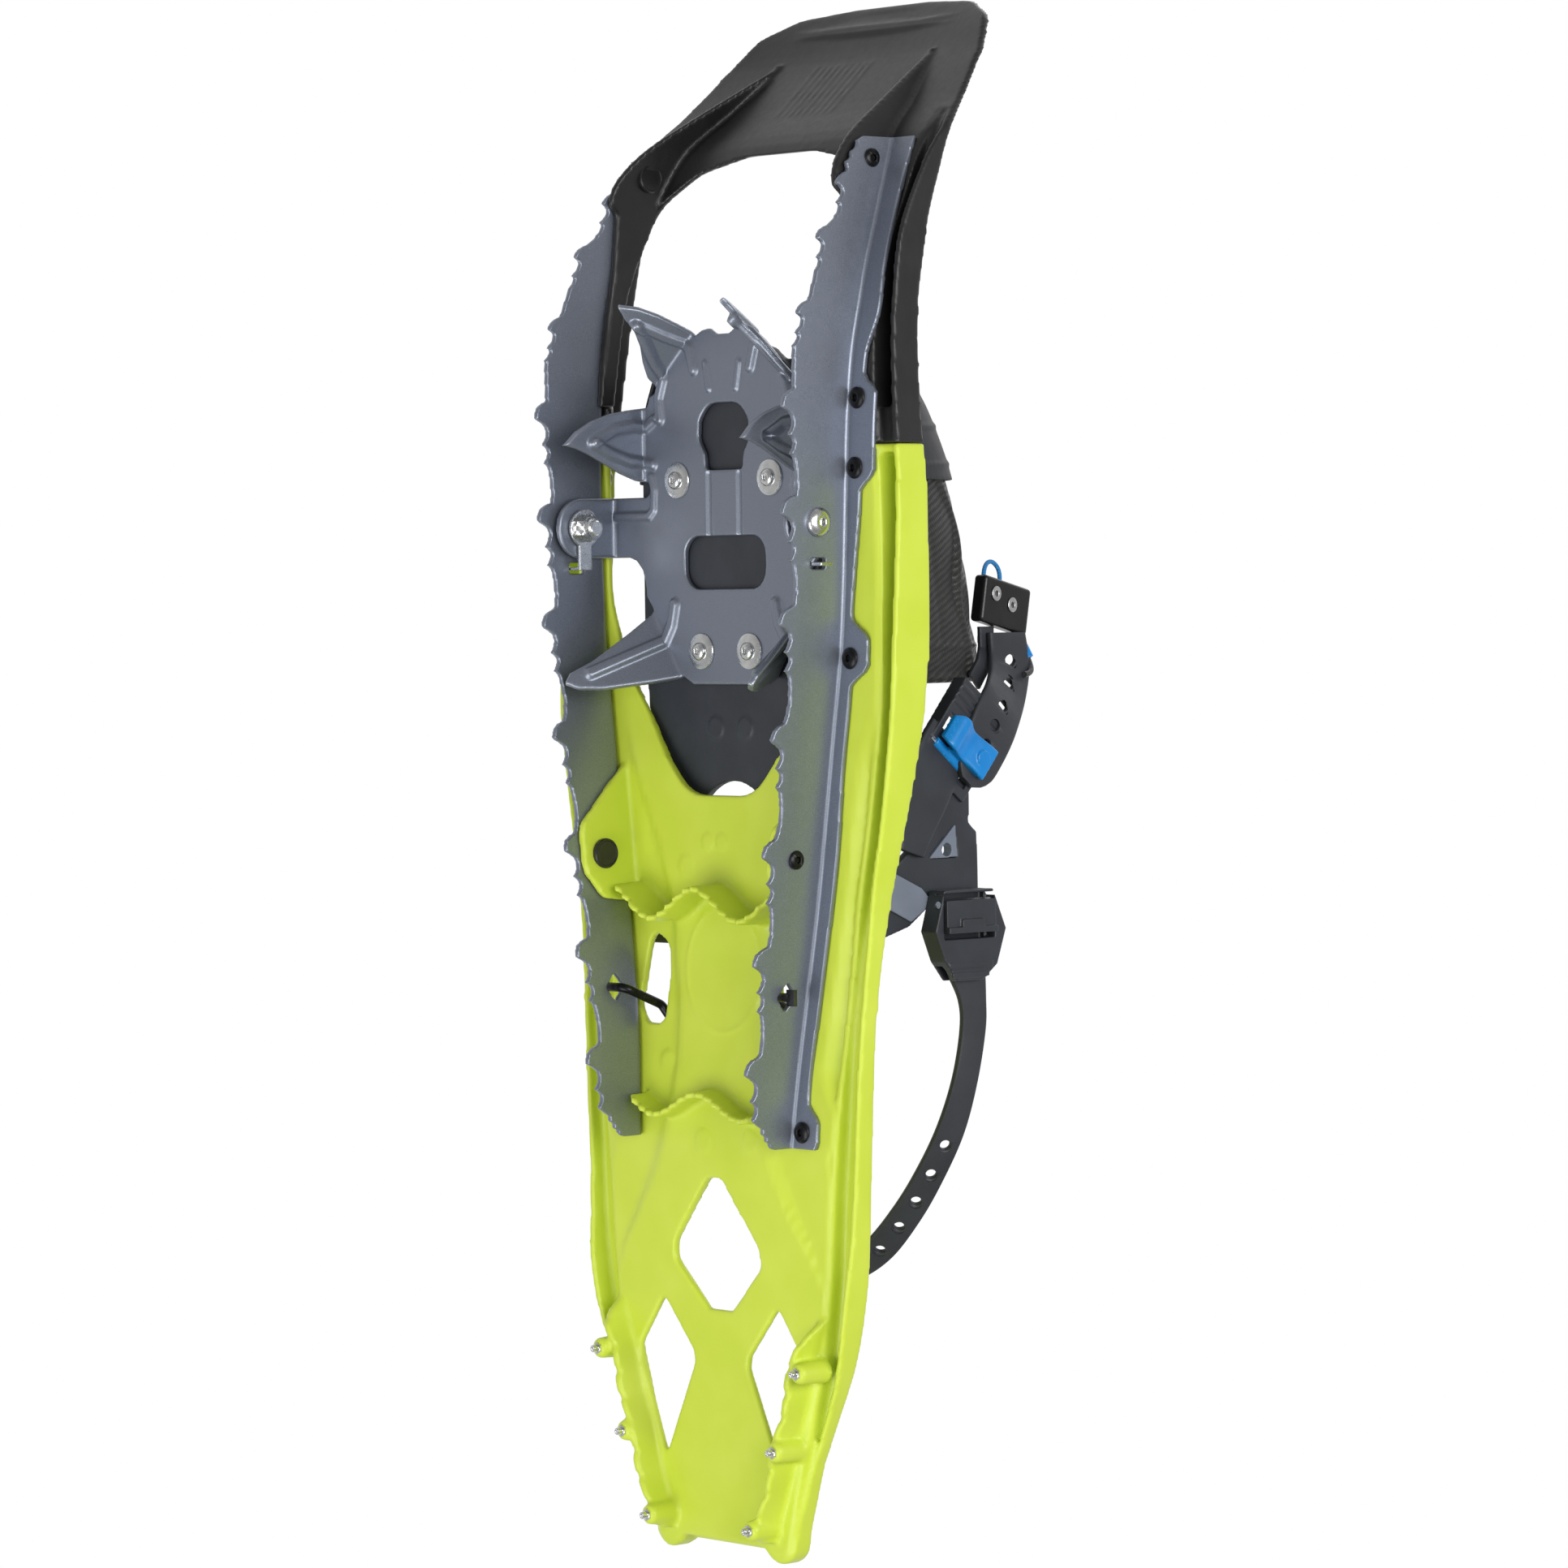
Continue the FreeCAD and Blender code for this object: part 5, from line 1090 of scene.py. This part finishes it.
def make_crampon():
    outline = mirror_half(crampon_outline())
    keyhole = mirror_half([(11.0, 123.0, 2), (11.5, 129.5, 5), (15.2, 135, 6), (14.5, 143, 6), (9, 149.5, 9)])
    slot = [(-24, 76, 8), (24, 76, 8), (24, 97, 8), (-24, 97, 8)]
    blank = plate(outline, PLATE_LOW, PLATE_LOW + METAL, [rounded(keyhole), rounded(slot)])
    crampon = moulded(mesh_object("crampon_plate", [blank]), 0.6, 3)
    points = press_beads(points_of(crampon))
    right = points[:, 0] >= 0
    points[~right] *= (-1, 1, 1)
    moved = np.zeros(len(points), bool)
    for fold in CLAWS + [EAR]:
        moved = fold.apply(points, moved)
    points[~right] *= (-1, 1, 1)
    stand_for(thinned(set_points(crampon, points), 0.55), "crampon")


# Fasteners: turned heads with hexagon sockets
def socket_head(radius, height, socket, centre, axis):
    """Low domed head with a hexagon socket, its flat underside at the centre."""
    profile = [(0, 0, 0), (radius, 0, 0), (radius, height * 0.35, 0), (radius * 0.93, height * 0.62, 0),
               (radius * 0.76, height * 0.86, 0), (radius * 0.55, height, 0), (socket * 1.18, height, 0),
               (socket * 1.1, height * 0.95, 6), (socket, height * 0.85, 6), (socket, height * 0.2, 6),
               (0, height * 0.1, 6)]
    return lathe(profile, centre, axis, 48)


def on_both_sides(solids):
    return solids + [flipped(solid) for solid in solids]


def make_rail_fasteners():
    heads, caps = [], []
    for y, z in BLADE_SCREWS:
        face = float(RAIL_X(y)) + SHEET / 2 + 0.15
        heads.append(socket_head(3.7, 1.5, 1.5, (face, y, z), (1, 0, 0)))
        inner = float(RAIL_X(y)) - SHEET / 2 - 3.4
        caps.append(lathe([(0, 0, 0), (5.6, 0, 0), (6.0, 0.4, 0), (6.0, 1.7, 0), (5.6, 2.2, 0), (5.1, 2.2, 0),
                           (4.7, 1.8, 0), (0, 1.7, 0)], (inner, y, z), (-1, 0, 0), 48))
    for x, y in FLANGE_SCREWS:
        face = float(FLANGE_Z(y)) - 0.1
        heads.append(socket_head(4.2, 1.5, 1.6, (x, y, face), (0, 0, -1)))
        top = float(FLOOR_Z(y)) + DECK_SKIN + 0.3
        caps.append(lathe([(0, 0, 0), (4.8, 0, 0), (4.9, 1.6, 0), (4.2, 2.8, 0), (2.5, 3.4, 0), (0, 3.5, 0)],
                          (x, y, top), (0, 0, 1), 48))
    crisp("rail_screw_heads", "rail_screws", on_both_sides(heads))
    crisp("rail_cap_nut_domes", "rail_cap_nuts", on_both_sides(caps))


def make_crampon_rivets():
    washers, rivets = [], []
    for x, y in [(27.6, 119.3), (14.3, 51.3)]:
        washers.append(lathe([(2.3, 0, 0), (2.3, 1.0, 0), (4.6, 1.35, 0), (7.0, 0.75, 0), (7.2, 0.45, 0),
                              (7.1, 0.1, 0), (6.9, 0, 0), (2.3, 0, 0)], (x, y, PLATE_LOW), (0, 0, -1), 56))
        rivets.append(socket_head(3.6, 1.9, 1.5, (x, y, PLATE_LOW - 1.1), (0, 0, -1)))
        rivets.append(socket_head(4.6, 0.9, 1.4, (x, y, 41.75), (0, 0, 1)))
    crisp("crampon_washer_rings", "crampon_washers", on_both_sides(washers))
    crisp("crampon_rivet_heads", "crampon_rivets", on_both_sides(rivets))


def make_studs():
    """Hexagonal steel studs with a hollow, sharp tip."""
    profile = [(0, 6, 0), (1.6, 6, 0), (1.6, 2.0, 0), (2.5, 1.9, 6), (2.5, 0.7, 6), (1.5, 0.6, 0),
               (1.5, -1.0, 0), (1.35, -1.5, 0), (0.95, -1.5, 0), (0.6, -0.7, 0), (0, -0.6, 0)]
    studs = [lathe(profile, (x, y, 12.4), (0, 0, 1), 36) for x, y in STUDS]
    crisp("tail_stud_points", "tail_studs", on_both_sides(studs))


BOLT_END = 57.4
NUT_FACE = 64.55


def make_pivots():
    """Domed bolt outside each rail, keyed washer and lock nut inside each crampon ear."""
    outer = float(RAIL_X(PIVOT_Y)) + SHEET / 2 + 0.1
    shank = [(0, 0, 0), (2.6, 0, 0), (3.0, 0.5, 0), (3.0, outer - BOLT_END, 0), (0, outer - BOLT_END, 0)]
    thread = [(2.7, 0, 0), (3.08, 0.25, 0), (2.7, 0.5, 0)]
    nut = [(0, 0, 0), (4.9, 0, 0), (5.5, 0.5, 6), (5.5, 3.6, 6), (4.9, 4.2, 0), (4.5, 4.3, 0),
           (4.4, 5.4, 0), (3.4, 5.7, 0), (0, 5.7, 0)]

    def on_axis(profile, side, reach, direction, segments):
        return lathe(profile, (side * reach, PIVOT_Y, PIVOT_Z), (direction, 0, 0), segments)
    for side, name in ((1, "right"), (-1, "left")):
        bolt = [socket_head(5.7, 2.8, 1.6, (side * outer, PIVOT_Y, PIVOT_Z), (side, 0, 0)),
                on_axis(shank, side, BOLT_END, side, 36)]
        bolt += [on_axis(thread, side, BOLT_END + 0.5 + 0.55 * turn, side, 32) for turn in range(5)]
        crisp("pivot_bolt_turned_" + name, "pivot_bolt_" + name, bolt)
        nuts = [on_axis(nut, side, NUT_FACE, -side, 48)]
        crisp("pivot_lock_nut_hex_" + name, "pivot_lock_nut_" + name, nuts)
        softened("pivot_tab_washer_keyed_" + name, "pivot_tab_washer_" + name, 0.28, passes=2)


# Binding: footbed, stirrup, buckles and levers
def softened(name, node, voxel, extras=(), cuts=(), passes=3, keep=1.0, move=(0, 0, 0)):
    """A CAD node's own shape with added detail, moulded into one skin."""
    obj = mesh_object(name, [turned(solid, move=move) for solid in (cad_solid(node), *extras)])
    if cuts:
        cut(obj, list(cuts))
    return stand_for(moulded(obj, voxel, passes, keep), node)


def block(low, high):
    """Straight-sided block between two corners."""
    (x0, y0, z0), (x1, y1, z1) = low, high
    return plate([(x0, y0), (x1, y0), (x1, y1), (x0, y1)], z0, z1)


TILT = math.radians(40)
STRAP_TURN = np.array([(1, 0, 0), (0, math.cos(TILT), -math.sin(TILT)), (0, math.sin(TILT), math.cos(TILT))])
BUCKLE_PLACE = (-53.0, 8.0, 112.0)


def in_buckle(solid):
    """From the cam buckle's own axes to the shoe's."""
    return turned(solid, STRAP_TURN, BUCKLE_PLACE)


def make_footbed():
    """Plate under the boot: treads on top, two moulding marks below."""
    treads = []
    for y in np.arange(60, 168, 9.0):
        half = 34 + 8 * math.sin((y - 60) / 34)
        for side in (-1, 1):
            near, far = side * 4 + 1, side * half
            tread = [(near, y, 1), (far, y + 4, 1), (far, y + 7, 1), (near, y + 3, 1)]
            treads.append(plate(rounded(tread[::side]), 41, 42.6))
    marks = [raised_ring(x, 21.0, 37.7, radius, 0.8, 0.6) for x in (-8.1, 9.3) for radius in (4.2, 2.4)]
    softened("footbed_plate", "footbed", 0.7, treads + marks, keep=0.6)


def make_heel_pad():
    ribs = [block((-21, y, 43.9), (21, y + 1.6, 44.4)) for y in (-70, -66, -62, -58)]
    softened("heel_pad_rubber", "heel_pad", 0.4, ribs)


def lever_blade():
    """S-curved thumb blade: a saddle at one end, a flat pad at the other."""
    stations = []
    for z, x, width in [(-18.5, -7.0, 10.5), (-15.5, -9.4, 14), (-12, -9.8, 14.5), (-8.5, -8.2, 13.6),
                        (-5.5, -7.6, 13), (-1, -8.4, 13.2), (4, -9.2, 14), (7.5, -9.2, 14.4)]:
        stations.append(((x, 1.4, z), (0, 1, 0), (-1, 0, 0), width))
    return strap(stations, 2.4, 1.0)


def side_stations(route):
    """Stations of a strap that lies along the shoe's left side, from its places and directions."""
    return [(centre, np.cross(run, (-1, 0, 0)), (-1, 0, 0), width) for centre, run, width in route]


CAM_SHIFT = -6.0


def make_cam_parts():
    """Cam buckle with the band that ties it to the stirrup, its thumb lever, and the pin between them."""
    slide = STRAP_TURN @ np.array((0, 0, CAM_SHIFT))
    ribs = [in_buckle(block((-4.9, y, -14.6), (-3.6, y + 1.4, 14.6))) for y in (12.5, 16.0, 19.5)]
    route = [((-54.6, 16, 104), (0, -0.75, -0.66), 24), ((-55.9, 6, 96), (0, -0.75, -0.66), 26),
             ((-57.6, -6, 88), (0, -0.8, -0.6), 24), ((-58.2, -18, 82), (0, -0.9, -0.45), 19),
             ((-58.0, -29, 79), (0, -0.95, -0.3), 13)]
    band = strap(side_stations([(np.array(place) - slide, run, width) for place, run, width in route]), 3.4)
    softened("cam_buckle_frame", "cam_buckle", 0.4, ribs + [band], move=slide)
    nose = lathe([(0, -18, 0), (2.2, -18, 0), (2.2, 6, 0), (0, 6, 0)], (-3.4, -6, 0), (0, 0, 1), 28)
    neck = block((-8.6, -5.4, -11), (-3.0, -3.2, 6))
    mark = lathe([(2.2, -0.4, 0), (3.2, -0.4, 0), (3.2, 0.9, 0), (2.2, 0.9, 0), (2.2, -0.4, 0)],
                 (-10.2, 1.4, 2.5), (1, 0, 0), 32)
    lever = mesh_object("cam_lever_blade", [in_buckle(solid) for solid in (lever_blade(), nose, neck, mark)])
    stand_for(moulded(lever, 0.32, 4), "cam_lever")
    crisp("cam_pin_rod", "cam_pin", [turned(cad_solid("cam_pin"), move=slide)])


def make_stirrup():
    """Stirrup with a flat arm that reaches up behind the cam buckle, and its two grey inserts."""
    reach = rounded([(-34, 84, 0), (-24, 98, 4), (-21, 113, 4), (-6, 114, 4), (3, 104, 4), (-2, 92, 6),
                     (-18, 78, 0)])
    reach = turned(slab(reach, lambda y, z: -55.8, lambda y, z: -52.4, step=GRID), ACROSS)
    softened("heel_stirrup_arms", "heel_stirrup", 0.6, [reach], keep=0.5)
    softened("arm_insert_pads", "arm_inserts", 0.35)


BUCKLE_DROP = 8.0


def make_heel_buckle():
    """Buckle and latch, a little lower on the strap than the CAD solids; the latch's axis stays the same."""
    drop = (0, 0, -BUCKLE_DROP)
    ridges = [block((-66.9, -78.5, 101), (-66.0, -76.7, 121)),
              block((-66.9, -74.6, 99.5), (-66.0, -72.8, 123))]
    grip = block((-68.8, -58.6, 105), (-67.0, -55.4, 117))
    softened("heel_buckle_housing", "heel_buckle", 0.38, ridges, move=drop)
    softened("heel_latch_plate", "heel_latch", 0.32, [grip], move=drop)
    crisp("heel_latch_pin_rod", "heel_latch_pin", [turned(cad_solid("heel_latch_pin"), move=drop)])


def shortened(solid):
    """The lace block's group, drawn together along its height."""
    points, faces = solid
    return np.column_stack([points[:, :2], BLOCK_LOW - 1 + (points[:, 2] - BLOCK_LOW) * BLOCK_SHARE]), faces


def make_block():
    """Lace block with its eyelets, the thin strap behind it and the sleeve on the pull loop."""
    for name, node, voxel in [("lace_block_body", "lace_block", 0.3),
                              ("pull_sleeve_tube", "pull_sleeve", 0.2),
                              ("eyelet_rings", "block_eyelets", 0.15)]:
        stand_for(moulded(mesh_object(name, [shortened(cad_solid(node))]), voxel, 6), node)
    softened("inner_strap_band", "inner_strap", 0.35)


def hole_cutter(centre, axis, radius, reach):
    """Waisted cutter that leaves a hole with rounded rims."""
    half = [(radius, 0.8, 0), (radius + 0.25, 1.2, 0), (radius + 0.9, 1.55, 0), (radius + 1.0, reach, 0),
            (0, reach, 0)]
    return lathe([(wide, -high, 0) for wide, high, _ in half[::-1]] + half, centre, axis, 28)


HEEL_STRAP = [((-60.9, -66, 103.5), (-1, 0, 0), 20.5, 0), ((-61.4, -76, 105), (-1, 0, 0), 20, 0),
              ((-61.2, -88, 108.5), (-1, -0.04, 0), 14, 0), ((-60.2, -100, 109.6), (-1, -0.12, 0), 12, 0.1),
              ((-57.5, -120, 107.5), (-1, -0.25, 0), 11.5, 0.2), ((-52.5, -140, 104), (-1, -0.4, 0), 12, 0.4),
              ((-45, -158, 99.5), (-1, -0.65, 0), 12, 0.6), ((-36, -174, 95), (-0.9, -1, 0), 12.5, 0.7),
              ((-24, -189, 90), (-0.6, -1, 0), 13, 0.75), ((-8, -198, 86), (-0.15, -1, 0), 13, 0.75),
              ((10, -199, 82.5), (0.25, -1, 0), 13, 0.7), ((27, -191, 79.5), (0.65, -1, 0), 13, 0.6),
              ((40, -176, 77.8), (0.95, -0.8, 0), 13, 0.5), ((47, -157, 78.5), (1, -0.5, 0), 13.5, 0.3),
              ((52.5, -137, 79.5), (1, -0.35, 0), 15, 0.1), ((56.5, -115, 80.5), (1, -0.18, 0), 18, 0),
              ((57.8, -90, 82.5), (1, -0.02, 0), 20, 0), ((57.8, -60, 86), (1, 0, 0), 20, 0)]
DOWN = (0, -0.766, -0.643)
INSTEP_STRAP = [((-43, 57, 147.5), (0, -1, 0), 20), ((-45, 46, 147), (0, -1, -0.2), 22),
                ((-49.5, 36.5, 141.5), (0, -1, -0.6), 22.5), ((-55.5, 28, 132.5), (0, -0.85, -0.85), 24),
                ((-57.8, 20.5, 125.5), (0, -0.8, -0.72), 25), ((-58.4, 12.5, 119.8), DOWN, 24),
                ((-58.6, 5, 114.2), DOWN, 22), ((-58.6, 0.5, 110.8), DOWN, 15), ((-58.6, -1.8, 109), DOWN, 7)]


def make_heel_strap():
    """Tapering strap round the heel, leaning outwards at the back, with a row of holes."""
    stations = []
    for centre, outward, width, lean in HEEL_STRAP:
        outward = np.array(outward, float) / np.linalg.norm(outward)
        across = np.array((0, 0, 1.0)) + lean * outward
        stations.append((centre, across, outward - lean * np.array((0, 0, 1.0)), width))
    band = mesh_object("heel_strap_band", [strap(stations, 3.0)])
    path = spline([[*centre, *outward, width] for centre, _, outward, width in stations], 1.0)
    travelled = np.concatenate([[0], np.cumsum(np.linalg.norm(np.diff(path[:, :3], axis=0), axis=1))])
    cuts = []
    for reach in np.arange(82, 270, 12.6):
        row = path[np.searchsorted(travelled, reach)]
        cuts.append(hole_cutter(row[:3], row[3:6], 2.1, 3))
    stand_for(sharp(cut(band, cuts), 40), "heel_strap")


def make_instep_strap():
    """Instep strap over the cam buckle, with its free end beyond the lever."""
    band = mesh_object("instep_strap_band", [strap(side_stations(INSTEP_STRAP), 3.0)])
    cuts = [hole_cutter(centre, (-1, lean, lean), 2.4, 3)
            for (centre, _, _), lean in zip(INSTEP_STRAP[1:], (-0.2, -0.4, -0.3, -0.1, 0))]
    stand_for(sharp(cut(band, cuts), 40), "instep_strap")


# Forefoot wrap: a padded arch with piped edges, and its moulded toe rim
WRAP_HALF = line((38, 55), (60, 57), (90, 57), (118, 57), (145, 54), (163, 47))
WRAP_TOP = line((38, 150), (60, 146), (90, 139), (118, 130), (145, 118), (163, 108))
FOOT_TOP = 41.8


def arch_point(y, angle, offset):
    """Point on the arch across the foot; offset grows it outwards."""
    c, s = math.cos(angle), math.sin(angle)
    half, top = float(WRAP_HALF(y)) + offset, float(WRAP_TOP(y)) + offset
    return (half * math.copysign(abs(c) ** 0.62, c), y, FOOT_TOP + (top - FOOT_TOP) * max(s, 0.0) ** 0.75)


def arch_band(start, end, inner, outer, step=2.0, around=64, swell=None):
    """Closed arch between two offsets; swell adds to the outer one."""
    rings = []
    for y in np.arange(start, end + 0.01, step):
        outside, inside = [], []
        for k in range(around + 1):
            angle = math.pi * k / around
            extra = swell(y, angle) if swell else 0.0
            outside.append(arch_point(y, angle, outer + extra))
            inside.append(arch_point(y, angle, inner))
        rings.append(outside + inside[::-1])
    return loft(rings)


def wrap_swell(y, angle):
    """Quilted channels and soft folds of the padding."""
    around = (angle / math.pi * 6) % 1.0
    pad = 0.9 * math.sin(math.pi * around) ** 0.5
    fold = 0.9 * math.sin(y / 5.5 + 3.0 * math.sin(angle * 3)) * math.sin(angle) ** 2
    edges = float(smoothstep(y, 38, 50) * (1 - smoothstep(y, 150, 162)))
    return (pad + fold) * edges - 1.2


def piping(y, offset, radius, lean=0.0):
    """Round cord-like edge over the arch, leaning forwards at its top."""
    angles = np.linspace(0.02, math.pi - 0.02, 90)
    return pipe([arch_point(y + lean * math.sin(angle), angle, offset) for angle in angles], radius)


def shoulder_point(y, side):
    """Point on the rounded binding that runs along the wrap's shoulder."""
    angle = math.pi / 2 - side * (0.78 + 0.06 * math.sin(y / 9))
    return arch_point(y, angle, -1.2 + 0.6 * math.sin(y / 11))


def make_wrap():
    solids = [arch_band(38, 163, -5, 0, 1.5, 96, wrap_swell), piping(39.2, -2.0, 1.9), piping(52, -0.4, 0.9)]
    for side in (-1, 1):
        solids.append(pipe([shoulder_point(y, side) for y in np.arange(40, 161, 2.0)], 2.8))
    wrap = moulded(mesh_object("forefoot_wrap_pad", solids), 0.9, 3, 0.7)
    stand_for(wrap, "forefoot_wrap")
    ridges = [piping(y, 1.6, 1.4, 3.0) for y in (122, 137, 151)]
    rim = mesh_object("toe_rim_moulding", [arch_band(118, 163, 0.3, 2.3, 2.0, 72)] + ridges)
    stand_for(moulded(rim, 0.8, 3, 0.6), "toe_rim", material=MATERIALS["pad_rubber"])


# Build
for make in (make_camera, make_light, make_floor, make_cords, make_tail_deck, make_toe_deck, make_rails,
             make_crampon, make_rail_fasteners, make_crampon_rivets, make_studs, make_pivots, make_footbed,
             make_heel_pad, make_cam_parts, make_stirrup, make_heel_buckle, make_block, make_heel_strap,
             make_instep_strap, make_wrap):
    make()

for node, obj in frame["nodes"].items():
    if not obj.hide_render:
        for place in range(len(obj.material_slots)):
            obj.material_slots[place].material = MATERIALS[NODE_SLOT[node]]
